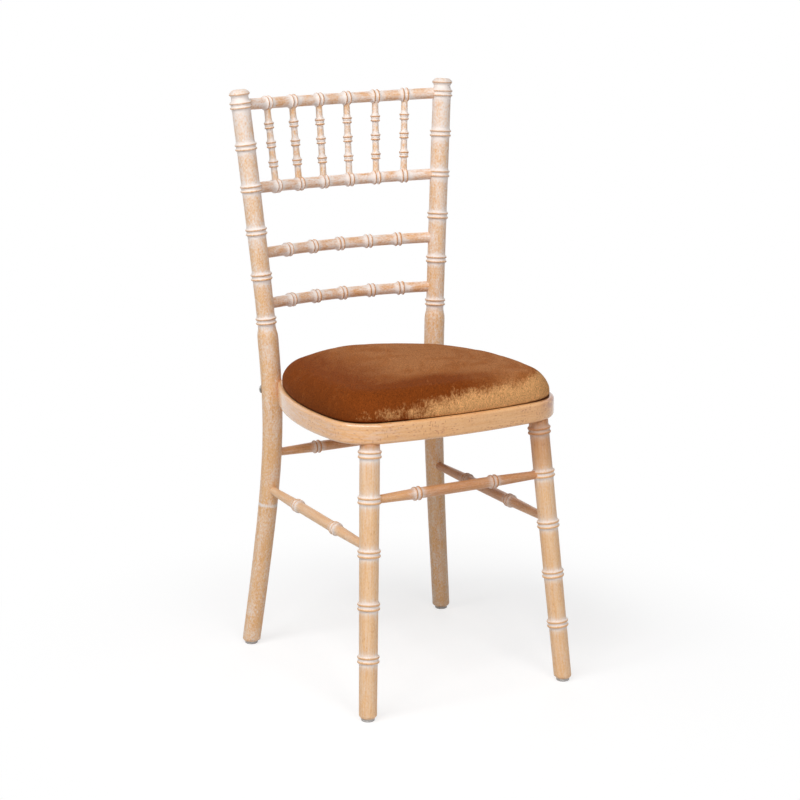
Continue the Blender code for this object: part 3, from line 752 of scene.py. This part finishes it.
# Turns a piece and puts it in the place of its node. The profile is its radius, hollow and ridge
# along the route, cover says how much white lies on it and paintedShade how much painted shade darkens it.
def layTurned(name, node, route, distance, profile, cover, paintedShade, sides, material, levelFrom=None):
    radius, hollow, ridge = profile
    masks = {"hollow": hollow, "ridge": ridge, "cover": cover, "paintedShade": paintedShade}
    piece = turnedPiece(name, route, distance, radius, sides, masks, levelFrom)
    piece.data.materials.append(material)
    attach(piece, chairBody)
    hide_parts(node)


bothSides = ("left", "right")
postRoutes = {"left": postRoute(-1), "right": postRoute(1)}
legRoutes = {"left": legRoute(-1), "right": legRoute(1)}
ringHeights = [post["top"] - drop for drop in post["ringDrops"]]


# Distances along a piece that stands on the floor, closer together over its chamfered foot
def footedSamples(route, parts):
    foot = np.linspace(route["length"] - leg["chamferHeight"], route["length"], 8)
    distance = np.unique(np.round(np.concatenate((*parts, foot)), 6))
    return distance[distance <= route["length"]]


# A post: finial profile, then plain wood with ringed stretches, then the chamfered foot
def makePost(side):
    route = postRoutes[side]
    centres = distanceAtHeight(route, ringHeights)
    crown, neck = post["finial"][0][0], post["finial"][-1][0]
    parts = np.arange(crown, neck, 0.0004), ringSamples(neck, route["length"], centres, beads)
    distance = footedSamples(route, parts)
    height = alongRoute(route, distance)[0][:, 2]
    radius, hollow, ridge = ringedProfile(distance, fitTable(post["radius"], height), centres, beads)
    blend = np.clip((distance - neck * 0.8) / 0.006, 0, 1)
    radius = fitTable(post["finial"], distance) * (1 - blend) + radius * blend
    radius -= footChamfer(distance, route["length"])
    (edge, edgeWidth), (top, topWidth) = post["rubbedEdge"], post["rubbedTop"]
    white, whiteWidth = post["whiteNeck"]
    ridge = np.clip(ridge + bell(distance - edge, edgeWidth, 4) + bell(distance - top, topWidth) * 0.5, 0, 1)
    hollow = np.clip(hollow + post["neckWhite"] * bell(distance - white, whiteWidth, 4), 0, 1)
    if side == "left":      # a line scribed low down
        hollow = np.maximum(hollow, bell(height - post["scribeZ"], post["scribeWidth"], 4))
    layTurned("backPost" + side.title(), "back_post_" + side, route, distance, (radius, hollow, ridge),
              fitTable(post["cover"], height), 0.0, post["sides"], postMaterial,
              route["length"] - leg["chamferHeight"])


def makeLeg(side):
    route = legRoutes[side]
    centres = distanceAtHeight(route, leg["ringZ"])
    distance = footedSamples(route, (ringSamples(0.0, route["length"], centres, legBeads),))
    height = alongRoute(route, distance)[0][:, 2]
    radius, hollow, ridge = ringedProfile(distance, fitTable(leg["radius"], height), centres, legBeads)
    radius -= footChamfer(distance, route["length"])
    # painted shade on the leg top, with less white where it lies
    paintedShade = fitTable(leg["paintedShade"][side], height)
    layTurned("frontLeg" + side.title(), "front_leg_" + side, route, distance, (radius, hollow, ridge),
              fitTable(leg["cover"], height) * (1 - paintedShade), paintedShade, leg["sides"], legMaterial,
              route["length"] - leg["chamferHeight"])


# Bowed back rails with rings spaced about a point near their middle

rails = {
    "bow": 0.033,
    "sides": 36,
    "sunk": 0.012,          # how far the ends go into the posts
    "rows": (
        # name, node, height below the top, lean of the bow in degrees, radius, then of the rings the
        # shift, the spacing and the number, and the cover
        ("crestRail", "crest_rail", 0.0250, 6.0, 0.0090, -0.0039, 0.0513, 6, 0.34),
        ("spindleRail", "spindle_rail", 0.1577, 6.0, 0.0090, -0.0026, 0.0478, 6, 0.42),
        ("lumbarRailUpper", "lumbar_rail_upper", 0.2629, 3.7, 0.0089, -0.0014, 0.0517, 5, 0.28),
        ("lumbarRailLower", "lumbar_rail_lower", 0.3449, 3.7, 0.0089, 0.0003, 0.0517, 5, 0.24),
    ),
}
railBeads = dict(beads, pitch=0.0075, proud=0.0027, halfWidths=(0.0024, 0.0021), groove=0.0010, cove=0.0070,
                 coveRise=0.0021, fade=0.0065)


def makeRail(name, node, drop, lean, radius, shift, spacing, count, cover):
    height = post["top"] - drop
    ends = [placeAtHeight(postRoutes[side], height) for side in bothSides]
    route = bowedRoute(*ends, rails["bow"], math.radians(lean))
    start = fitTable(post["radius"], height) - rails["sunk"]
    centres = route["length"] / 2 + shift + (np.arange(count) - (count - 1) / 2) * spacing
    distance = ringSamples(start, route["length"] - start, centres, railBeads)
    profile = ringedProfile(distance, radius, centres, railBeads)
    layTurned(name, node, route, distance, profile, cover, 0.0, rails["sides"], railMaterial)
    return alongRoute(route, centres)[0]


# Spindles: each stretch swells a little towards the rings below it

spindle = {
    "radius": 0.0056,
    "waist": 0.0006,
    "ringPlaces": (0.27, 0.50, 0.735),
    "sunk": 0.0070,
    "cover": 0.38,
    "sides": 28,
}
spindleBeads = dict(beads, pitch=0.0072, proud=0.0027, halfWidths=(0.0022, 0.0019), groove=0.0017, cove=0.0062,
                    coveRise=0.0022, ledge=0.0040, fade=0.0045)


# Shaft that starts each stretch thinner by the waist and grows back in a straight line to the next ring
def waistedShaft(distance, centres, length):
    stops = np.concatenate(([0.0], centres, [length]))
    index = np.clip(np.searchsorted(stops, distance, side="right") - 1, 0, len(stops) - 2)
    share = (distance - stops[index]) / (stops[index + 1] - stops[index])
    return spindle["radius"] - spindle["waist"] * (1 - share)


def makeSpindle(index, top, bottom):
    route = bowedRoute(top, bottom, count=60)
    start = rails["rows"][0][4] - spindle["sunk"]
    centres = np.array(spindle["ringPlaces"]) * route["length"]
    distance = ringSamples(start, route["length"] - start, centres, spindleBeads, 0.003, 0.0004)
    profile = ringedProfile(distance, waistedShaft(distance, centres, route["length"]), centres, spindleBeads)
    number = str(index + 1)
    layTurned("spindle" + number, "spindle_" + number, route, distance, profile, spindle["cover"], 0.0,
              spindle["sides"], spindleMaterial)


# Stretchers: thin at the ends, full between their two pairs of rings

stretcher = {
    "endRadius": 0.0065,
    "radius": 0.0085,
    "sunk": 0.011,
    "sides": 32,
    "frontPlaces": (0.262, 0.700),
    "rearPlaces": (0.268, 0.706),
    "sidePlaces": (0.315, 0.693),
    "frontZ": 0.3373,
    "sideFrontZ": 0.2642,
    "sideRearZ": 0.2700,
    "rearZ": 0.3309,
    "cover": 0.05,
    "sideCover": 0.12,
    # painted shade on the front, rear and right stretchers
    "darkening": ((0.15, 0.0), (0.35, 0.45), (1.0, 0.6)),        # by the share of the length
}
stretcherBeads = dict(beads, pitch=0.0076, proud=0.0025, halfWidths=(0.0024, 0.0023), groove=0.0010, coveRise=0.0014)


# The left stretcher is the one in the light: the others take a darker copy of the finish and painted shade that
# grows towards their far end, both standing for the seat's shadow
def makeStretcher(side, first, last, firstRadius, lastRadius, places, cover):
    lit = side == "left"
    route = bowedRoute(first, last, count=80)
    centres = np.array(places) * route["length"]
    start = firstRadius - stretcher["sunk"]
    end = route["length"] - lastRadius + stretcher["sunk"]
    distance = ringSamples(start, end, centres, stretcherBeads)
    stops = (firstRadius, *centres, route["length"] - lastRadius)
    thin, full = stretcher["endRadius"], stretcher["radius"]
    profile = ringedProfile(distance, np.interp(distance, stops, (thin, full, full, thin)), centres, stretcherBeads)
    darkening = 0.0 if lit else fitTable(stretcher["darkening"], distance / route["length"])
    layTurned("stretcher" + side.title(), "stretcher_" + side, route, distance, profile, cover, darkening,
              stretcher["sides"], legMaterial if lit else shadedStretcherMaterial)


def makeStretchers():
    for side, routes, shape in (("front", legRoutes, leg), ("rear", postRoutes, post)):
        z = stretcher[side + "Z"]
        ends = [placeAtHeight(routes[end], z) for end in bothSides]
        width = fitTable(shape["radius"], z)
        makeStretcher(side, *ends, width, width, stretcher[side + "Places"], stretcher["cover"])
    for side in bothSides:
        frontZ, rearZ = stretcher["sideFrontZ"], stretcher["sideRearZ"]
        makeStretcher(side, placeAtHeight(legRoutes[side], frontZ), placeAtHeight(postRoutes[side], rearZ),
                      fitTable(leg["radius"], frontZ), fitTable(post["radius"], rearZ), stretcher["sidePlaces"],
                      stretcher["sideCover"])


for side in bothSides:
    makePost(side)
    makeLeg(side)
ringPlaces = [makeRail(*row) for row in rails["rows"]]
for index, (top, bottom) in enumerate(zip(ringPlaces[0], ringPlaces[1])):
    makeSpindle(index, top, bottom)
makeStretchers()
print("stage: posts, legs, rails, spindles and stretchers")


# Hoop: a rounded section carried round the outline

def hoopSection():
    soft, small = hoop["round"], hoop["innerRound"]
    low, high = hoop["bottom"], hoopTop
    ledge = high - hoop["rebate"]
    quarter = np.linspace(0, math.pi / 2, 9)

    def corner(setIn, z, radius, start):      # a quarter circle about a corner's centre
        return np.column_stack((setIn + radius * np.cos(start + quarter), z + radius * np.sin(start + quarter)))

    right, top = 0.0, math.pi / 2
    return np.concatenate([
        corner(soft, low + soft, soft, math.pi),
        corner(hoop["width"] - small, low + small, small, -top),
        [(hoop["width"], ledge), (hoop["rim"], ledge)],
        corner(hoop["rim"] - small, high - small, small, right),
        corner(soft, high - soft, soft, top),
    ])


# The hoop, with masks for the painted shade on its right front corner and the painted reflection at its left end
def makeHoop():
    section = hoopSection()
    lengths = hoopHeadings(hoop["around"])[2]
    points = np.concatenate([outlineRing(setIn, z, hoop["around"]) for setIn, z in section])
    piece = makePiece("seatHoop", points, wrapQuads(len(section), hoop["around"], closeRows=True))
    setIns, heights = np.repeat(section, hoop["around"], axis=0).T
    addAttribute(piece, "woodPlace", np.column_stack((setIns, heights, np.tile(lengths, len(section)))))
    x, y, z = points.T
    cornerX, cornerWide = hoop["shadeCorner"]
    corner = bell(x - cornerX, cornerWide) * (y < hoop["shadeBackTo"])
    addAttribute(piece, "paintedShadeCorner", corner * ramp(z, *hoop["shadeHeights"]))
    paintedReflection = hoop["paintedReflection"] + hoop["leftPaintedReflection"] * ramp(x, *hoop["paintedReflectionFrom"])
    addAttribute(piece, "paintedReflectionMask", ramp(setIns, hoop["paintedReflectionReach"], 0.0) * paintedReflection)
    return piece


hoopWood = {
    "light": linear(246, 192, 132),
    "dark": linear(232, 168, 102),
    "line": linear(206, 138, 78),
    "rayColour": linear(200, 120, 66),
    # colour of the painted shade at the right front corner
    "red": linear(188, 112, 66),
    "paintedReflection": linear(236, 210, 196),
    "flecks": 0.15,
    "roughness": 0.42,
    "coat": 1.0,
    "coatRough": 0.09,
    "bump": 0.12,
}


# Short dark flecks: small cells of which only some are filled, thinned out by a slow noise
def rayFlecks(place, scale, share, low, high):
    distance, colour = cells(place, scale)
    chance = nodeValue(place.tree, "SeparateColor", 0, [(0, colour)])
    where = rangeNode(noise(place, (30, 30, 22), 1.0), low, high)
    return rangeNode(chance, share, share + 0.02) * rangeNode(distance, 0.46, 0.16) * where


def bentBeech(name, values):
    made, tree, shader = newMaterial(name, {"Coat Weight": values["coat"], "Coat Roughness": values["coatRough"]})
    place = attribute(tree, "woodPlace", "Vector")
    beech = useGroup(tree, beechGroup, {"Place": place}, values,
                     {"Light": "light", "Dark": "dark", "Fleck": "rayColour", "Fleck Amount": "flecks"})
    lines = rangeNode(noise(place, (900, 900, 12), 2.0, 0.6), 0.56, 0.74, 0.0, 0.55)
    colour = mixColour(lines, beech["Color"], values["line"])
    along = rayFlecks(place, (300, 420, 150), 0.74, 0.40, 0.54)
    upright = rayFlecks(scaled(place, (1, 1, 1), (0.3, 0.2, 0.1)), (300, 140, 400), 0.80, 0.46, 0.57)
    colour = mixColour(larger(along, upright) * 0.8, colour, values["rayColour"])
    # painted shade: a darker, reddish patch on the outer face at the right front corner and right end
    shadeBreakup = rangeNode(noise(place, (160, 160, 60), 3.0, 0.6), 0.34, 0.54)
    colour = mixColour(attribute(tree, "paintedShadeCorner") * shadeBreakup, colour, values["red"])
    # painted reflection: a whitish veil on the outer face, strongest at the left end
    reflectionBreakup = rangeNode(noise(place, (240, 260, 40), 3.0, 0.65), 0.36, 0.66)
    colour = mixColour(attribute(tree, "paintedReflectionMask") * reflectionBreakup, colour, values["paintedReflection"])
    rough = rangeNode(beech["Pores"], 0.0, 1.0, values["roughness"], values["roughness"] + 0.12)
    connect(shader, {"Base Color": colour, "Roughness": rough})
    addBump(shader, beech["Height"], values["bump"], 0.0006)
    return made


hoopPiece = makeHoop()
hoopPiece.data.materials.append(bentBeech("bentBeech", hoopWood))
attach(hoopPiece, chairBody)
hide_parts("seat_hoop")
print("stage: seat hoop")


# Pad: a crowned closed form whose sides round over to a drawn-in foot inside the rim

pad = {
    "setInByHeading": ((0, 0.0017), (30, 0.0039), (60, 0.0047), (92, 0.0047), (111, 0.0033), (125, 0.0068),
                       (145, 0.0083), (180, 0.0103)),
    "bulgeZ": 0.0100,
    "sideHeight": 0.0284,
    "shoulderReach": 0.0350,
    "shoulderPower": 2.0,
    "sidePower": 1.37,
    "crown": 0.0100,
    "crownPower": 1.7,
    "fall": 0.0030,         # lower at the back than at the front
    "uneven": 0.0030,       # fuller behind the middle, flatter at the rear right
    "mound": (-0.025, 0.055),       # x and width of its fuller part, then of its flatter part
    "hollow": (0.130, 0.060),
    "cornerLift": 0.0032,
    "corner": (-0.145, -0.175),
    "cornerWide": 0.070,
    "cornerFade": 0.014,
    "footSetIn": 0.0088,
    "around": 176,
    "smaller": 0.0006,      # drawn in by this before it is blown up
    "voxel": 0.004,
    "pressure": 4.0,
    "cap": 0.0024,
    "upward": 0.45,         # share of the swelling that is kept upwards
    "frames": 20,
    "smoothing": 2,
    # below its widest line: share of the way in to the foot, height over the rim
    "skirt": ((0.04, 0.0052), (0.16, 0.0034), (0.42, 0.0022), (0.80, 0.0017), (1.0, 0.0010)),
    # painted shade line where the pad tucks in above the rim
    "tuck": 0.0012,         # height of the dark line over the rim, and x, width and more near its ends
    "tuckBlend": 0.0012,
    "tuckEnds": ((0.175, 0.055, 0.0030), (-0.195, 0.030, 0.0012)),
    "paleBlend": 0.022,
    # where the pale nap of the painted sheen starts: y by x along the front, x by y beside the right edge
    "paleBelow": ((-0.21, -0.155), (-0.18, -0.174), (-0.15, -0.193), (-0.10, -0.197), (-0.03, -0.194),
                  (0.02, -0.190), (0.06, -0.188), (0.09, -0.186), (0.12, -0.180), (0.15, -0.164), (0.20, -0.120)),
    "paleBeside": ((-0.21, 0.140), (-0.15, 0.170), (-0.10, 0.190), (-0.03, 0.199), (0.20, 0.230)),
    # where other tones start and are full, by x or by y
    "leftDark": 0.85,
    "darkLeft": (-0.010, -0.140),
    "darkBand": (-0.098, -0.148),
    "darkBandEnd": (0.125, -0.005),
    "shadeLeft": (-0.150, -0.210),
    "shadeByY": ((-0.125, 1.0), (0.225, 0.3)),
    # lighter strokes: x and its width, y and its width
    "lightSpots": ((-0.005, 0.045, -0.035, 0.045), (0.090, 0.060, 0.050, 0.080)),
}


# Height above the rim at a share of the shoulder: side (1 - (1 - share) ^ p) ^ (1 / q), and over
# the whole top a dome crown (1 - r ^ s) that falls a little towards the back.
def padGrid(count, smaller=0.0):
    around = outline(0.0, count)
    middle = around.mean(axis=0)
    widest = fitTable(pad["setInByHeading"], np.degrees(hoopHeadings(count)[0])) + smaller
    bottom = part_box("pad_cushion")[0].z
    foot = pad["footSetIn"]
    bulge = hoopTop + pad["bulgeZ"]

    def narrowed(setIn, share, z):
        flat = outline(setIn, count)
        return np.column_stack((middle + (flat - middle) * share, np.full(count, z)))

    share = np.linspace(0, 1, 26) ** 1.6
    height = pad["sideHeight"] * (1 - (1 - share) ** pad["shoulderPower"]) ** (1 / pad["sidePower"])
    rings = [narrowed(widest + pad["shoulderReach"], step, bulge + pad["sideHeight"])
             for step in np.linspace(0.04, 0.96, 18)]
    for step, z in zip(share[::-1], height[::-1]):
        rings.append(outlineRing(widest + pad["shoulderReach"] * step, bulge + z, count))
    for step, z in pad["skirt"]:
        rings.append(outlineRing(widest + (foot - widest) * step, hoopTop + z, count))
    for setIn, z in ((foot, hoopTop - 0.0030), (foot + 0.001, bottom + 0.0004), (foot + 0.003, bottom)):
        rings.append(outlineRing(setIn, z, count))
    for step in (0.85, 0.6, 0.35, 0.08):
        rings.append(narrowed(foot + 0.003, step, bottom))
    grid = np.array(rings)
    x, y, z = np.moveaxis(grid, -1, 0)      # views of the grid
    above = ramp(z, bulge, bulge + pad["sideHeight"])
    rimAngle = np.arctan2(*(around - middle).T[::-1])
    order = np.argsort(rimAngle)
    rimReach = np.hypot(*(around - middle).T)
    angle = np.arctan2(y - middle[1], x - middle[0])
    reach = np.interp(angle, rimAngle[order], rimReach[order], period=2 * math.pi)
    share = np.hypot(x - middle[0], y - middle[1]) / reach
    dome = pad["crown"] * np.clip(1 - share ** pad["crownPower"], 0, 1)
    dome -= pad["fall"] * (y - middle[1]) / np.ptp(around[:, 1]) * 2
    (mound, moundWide), (hollow, hollowWide) = pad["mound"], pad["hollow"]
    uneven = (bell(x - mound, moundWide) - bell(x - hollow, hollowWide)) * ramp(y, 0.0, 0.12)
    z += (dome - smaller + pad["uneven"] * uneven) * above
    return grid


# The left front corner stands off the rim: a bell about the corner, full below the widest ring and
# gone a little above it
def liftCorner(points):
    away = np.hypot(points[:, 0] - pad["corner"][0], points[:, 1] - pad["corner"][1] - seatShift)
    widestZ = hoopTop + pad["bulgeZ"]
    below = ramp(points[:, 2], widestZ + pad["cornerFade"], widestZ)
    points[:, 2] += pad["cornerLift"] * bell(away, pad["cornerWide"]) * below
    return points


# Painted sheen where the nap is brushed towards the front: along the front edge and round the
# right front corner. Each line is a slope across an edge read from a table.
def paintedSheenNap(x, y):
    front = np.clip((fitTable(pad["paleBelow"], x) - y) / pad["paleBlend"] + 0.5, 0, 1)
    side = np.clip((x - fitTable(pad["paleBeside"], y)) / pad["paleBlend"] + 0.5, 0, 1)
    return np.maximum(front, side)


# Where it looks dark: more towards the left, and in a band behind the pale edge
def darkNap(x, y):
    band = ramp(y, *pad["darkBand"]) * ramp(x, *pad["darkBandEnd"])
    return np.maximum(pad["leftDark"] * ramp(x, *pad["darkLeft"]), band)


# Painted shade at the far left and down the left front side, where it turns from the light
def shadeNap(x, y):
    return ramp(x, *pad["shadeLeft"]) * fitTable(pad["shadeByY"], y)


# Lighter strokes right of the middle
def lightNap(x, y):
    spots = [bell(x - left, wide) * bell(y - front, deep) for left, wide, front, deep in pad["lightSpots"]]
    return np.clip(sum(spots), 0, 1)


# Painted shade: the dark line where it tucks in above the rim, deeper towards its right and left ends
def paintedTuckShade(x, z):
    reach = pad["tuck"] + sum(more * bell(x - end, wide) for end, wide, more in pad["tuckEnds"])
    return np.clip((hoopTop + reach - z) / pad["tuckBlend"] + 0.5, 0, 1)


# Swells a closed mesh with Cloth under pressure; each point then moves only as far as the cap and
# only above the rim: shift = way * cap * tanh(length / cap) * share of the height over the rim
def blowUp(piece, values):
    remesh = piece.modifiers.new("remesh", "REMESH")
    remesh.mode = "VOXEL"
    remesh.voxel_size = values["voxel"]
    applyModifiers(piece)
    rest = readPoints(piece.data)
    cloth = piece.modifiers.new("cloth", "CLOTH")
    cloth.settings.use_pressure = True
    cloth.settings.uniform_pressure_force = values["pressure"]
    cloth.settings.effector_weights.gravity = 0.0
    cloth.settings.quality = 6
    cloth.collision_settings.use_collision = False
    cloth.point_cache.frame_start = 1
    cloth.point_cache.frame_end = values["frames"]
    for step in range(1, values["frames"] + 1):
        scene.frame_set(step)
    swollen = readPoints(piece.evaluated_get(bpy.context.evaluated_depsgraph_get()).data)
    piece.modifiers.remove(cloth)
    scene.frame_set(1)
    move = swollen - rest
    length = np.linalg.norm(move, axis=1, keepdims=True)
    above = ramp(rest[:, 2:], hoopTop + 0.001, hoopTop + 0.007)
    move *= values["cap"] * np.tanh(length / values["cap"]) / np.maximum(length, 1e-9) * above
    move[:, 2] *= values["upward"]
    writePoints(piece.data, rest + move)
    smooth = piece.modifiers.new("smooth", "SMOOTH")
    smooth.factor = 0.5
    smooth.iterations = values["smoothing"]
    finer = piece.modifiers.new("finer", "SUBSURF")
    finer.levels = finer.render_levels = 1
    applyModifiers(piece)
    piece.data.shade_smooth()
    print("stage: cushion swollen, farthest", round(float(length.max()) * 1000, 2), "mm before the cap")


def applyModifiers(piece):
    finished = piece.evaluated_get(bpy.context.evaluated_depsgraph_get())
    mesh = bpy.data.meshes.new_from_object(finished)
    piece.modifiers.clear()
    piece.data = mesh


def readPoints(mesh):
    values = np.empty(len(mesh.vertices) * 3, dtype=np.float32)
    mesh.vertices.foreach_get("co", values)
    return values.reshape(-1, 3).astype(float)


def writePoints(mesh, points):
    mesh.vertices.foreach_set("co", np.asarray(points, dtype=np.float32).ravel())
    mesh.update()


velvet = {
    # colour of the painted shade line where the pad tucks in above the rim
    "under": linear(84, 44, 20),
    "shade": linear(110, 54, 18),
    "deep": linear(128, 62, 18),
    "middle": linear(163, 99, 52),
    "light": linear(176, 116, 70),
    # colour of the painted sheen
    "pale": linear(216, 160, 104),
    "glint": (1.50, 1.46, 1.42, 1.0),      # these two multiply the colour along the fibres
    "darkening": (0.56, 0.52, 0.48, 1.0),
    "roughness": 0.80,
    "sheen": 0.04,
    "bump": 0.40,
}


# Crushed velvet: the nap attributes, painted sheen and painted shade among them, choose the tone, and slanting tufts
# break up their edges
def makeVelvet(name, values):
    made, tree, shader = newMaterial(name, {"Roughness": values["roughness"], "Sheen Weight": values["sheen"],
                                            "Sheen Roughness": 0.4, "Sheen Tint": linear(240, 196, 140),
                                            "Specular IOR Level": 0.06})
    place = objectPlace(tree)
    slanted = nodeValue(tree, "Mapping", 0, [("Vector", place), ("Rotation", (0.0, 0.0, math.radians(-58)))])
    tufts = noise(slanted, (95, 330, 220), 3.0, 0.65, 0.4)
    fibres = noise(slanted, (250, 560, 500), 3.0, 0.75)
    brushed = noise(slanted, (22, 60, 44), 4.0, 0.6, 0.6)
    clouds = noise(place, (14, 20, 18), 2.0, 0.5)

    # an attribute with its edge broken up by tufts and, more slowly, by brushing
    def wavering(label, strength, low, high):
        value = attribute(tree, label) + (tufts - 0.5) * strength + (brushed - 0.5) * strength
        return rangeNode(value, low, high)

    tone = brushed * 0.5 + clouds * 0.5 + attribute(tree, "napLight") * 0.14
    grain = fibres * 0.75 + tufts * 0.25
    colour = mixColour(rangeNode(tone, 0.42, 0.62), values["middle"], values["light"])
    colour = mixColour(wavering("napDark", 0.8, 0.10, 0.90), colour, values["deep"])
    colour = mixColour(wavering("napShade", 0.6, 0.15, 1.0), colour, values["shade"])
    # painted sheen
    colour = mixColour(wavering("napPaintedSheen", 1.0, 0.22, 0.90), colour, values["pale"])
    colour = mixColour(rangeNode(grain, 0.50, 0.68), colour, values["glint"], "MULTIPLY")
    colour = mixColour(rangeNode(grain, 0.50, 0.33), colour, values["darkening"], "MULTIPLY")
    # painted shade where the pad tucks in above the rim
    connect(shader, {"Base Color": mixColour(attribute(tree, "paintedTuckShade"), colour, values["under"])})
    addBump(shader, fibres + tufts * 0.6, values["bump"], 0.0008)
    return made


cushion = closedGrid("seatCushion", padGrid(pad["around"], pad["smaller"]))
blowUp(cushion, pad)
points = liftCorner(readPoints(cushion.data))
writePoints(cushion.data, points)
for label, nap in (("napPaintedSheen", paintedSheenNap), ("napDark", darkNap), ("napShade", shadeNap), ("napLight", lightNap)):
    addAttribute(cushion, label, nap(points[:, 0], points[:, 1]))
addAttribute(cushion, "paintedTuckShade", paintedTuckShade(points[:, 0], points[:, 2]))
cushion.data.materials.append(makeVelvet("bronzeVelvet", velvet))
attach(cushion, padBody)
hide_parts("pad_cushion")
print("stage: cushion")

# Small parts and boards that keep their own shape: a finish each, on Object coordinates

smallParts = {
    "zinc": linear(196, 194, 190),
    "zincDull": linear(150, 148, 146),
    "glide": linear(206, 204, 202),
    "glideWorn": linear(150, 146, 142),
    "ply": linear(222, 186, 142),
    "plyDark": linear(196, 154, 106),
    "boardPly": linear(214, 178, 132),
    "hook": linear(60, 50, 42),
    "hookTip": linear(104, 90, 78),
    "loop": linear(84, 66, 50),
    "loopTip": linear(134, 112, 90),
}


# Zinc plate: soft mottling in colour and roughness with fine scratches
def makeZinc(values):
    made, tree, shader = newMaterial("zincPlate", {"Metallic": 1.0})
    place = objectPlace(tree)
    mottle = noise(place, (420, 420, 420), 4.0, 0.65)
    scratches = noise(place, (2600, 2600, 260), 2.0, 0.6)
    colour = mixColour(rangeNode(mottle, 0.35, 0.68), values["zinc"], values["zincDull"])
    connect(shader, {"Base Color": colour, "Roughness": rangeNode(mottle, 0.3, 0.7, 0.24, 0.46)})
    addBump(shader, scratches + mottle, 0.12, 0.0002)
    return made


# Moulded plastic, scuffed where it meets the floor
def makeGlidePlastic(values):
    made, tree, shader = newMaterial("glidePlastic", {"Metallic": 0.0})
    place = objectPlace(tree)
    scuffs = noise(place, (520, 520, 900), 4.0, 0.7)
    height = nodeValue(tree, "SeparateXYZ", "Z", [(0, place)])
    worn = rangeNode(scuffs, 0.42, 0.62) * rangeNode(height, 0.0045, 0.0, 0.25, 0.95)
    connect(shader, {"Base Color": mixColour(worn, values["glide"], values["glideWorn"]),
                     "Roughness": rangeNode(scuffs, 0.3, 0.7, 0.42, 0.68)})
    addBump(shader, scuffs, 0.20, 0.0003)
    return made


# Rotary-cut plywood: broad wavy figure across the sheet, thin pores along it
def makePly(name, light, dark):
    made, tree, shader = newMaterial(name, {"Specular IOR Level": 0.3})
    place = objectPlace(tree)
    figure = noise(place, (34, 7, 400), 4.0, 0.55, 1.6)
    pores = noise(place, (1300, 42, 1300), 2.0, 0.6)
    colour = mixColour(rangeNode(figure, 0.36, 0.66), light, dark)
    colour = mixColour(rangeNode(pores, 0.56, 0.70, 0.0, 0.55), colour, dark)
    connect(shader, {"Base Color": colour, "Roughness": rangeNode(pores, 0.4, 0.7, 0.62, 0.80)})
    addBump(shader, figure - pores * 0.5, 0.30, 0.0005)
    return made


# Woven tape with a pile: small round tufts as cells, tips lighter than the ground
def makeTape(name, ground, tip, spacing):
    made, tree, shader = newMaterial(name, {"Roughness": 0.85, "Sheen Weight": 0.2, "Specular IOR Level": 0.2})
    place = objectPlace(tree)
    loops = rangeNode(cells(place, (spacing, spacing, spacing), 0.7)[0], 0.55, 0.15)
    fuzz = noise(place, (900, 900, 900), 2.0, 0.6)
    connect(shader, {"Base Color": mixColour(loops * fuzz, ground, tip)})
    addBump(shader, loops + fuzz, 0.7, 0.0006)
    return made


def dressNode(node, material):
    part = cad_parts[node]
    part.data.materials.clear()
    part.data.materials.append(material)


zincPlate = makeZinc(smallParts)
glidePlastic = makeGlidePlastic(smallParts)
hookTape = makeTape("hookTape", smallParts["hook"], smallParts["hookTip"], 900)
loopTape = makeTape("loopTape", smallParts["loop"], smallParts["loopTip"], 1100)
for side in bothSides:
    for node, material in (("post_bolt_", zincPlate), ("washer_", zincPlate), ("nut_", zincPlate),
                           ("glide_front_", glidePlastic), ("glide_rear_", glidePlastic),
                           ("hook_strip_", hookTape), ("loop_strip_", loopTape)):
        dressNode(node + side, material)
dressNode("seat_panel", makePly("panelPly", smallParts["ply"], smallParts["plyDark"]))
dressNode("pad_board", makePly("boardPly", smallParts["boardPly"], smallParts["plyDark"]))
print("stage: small parts and boards")
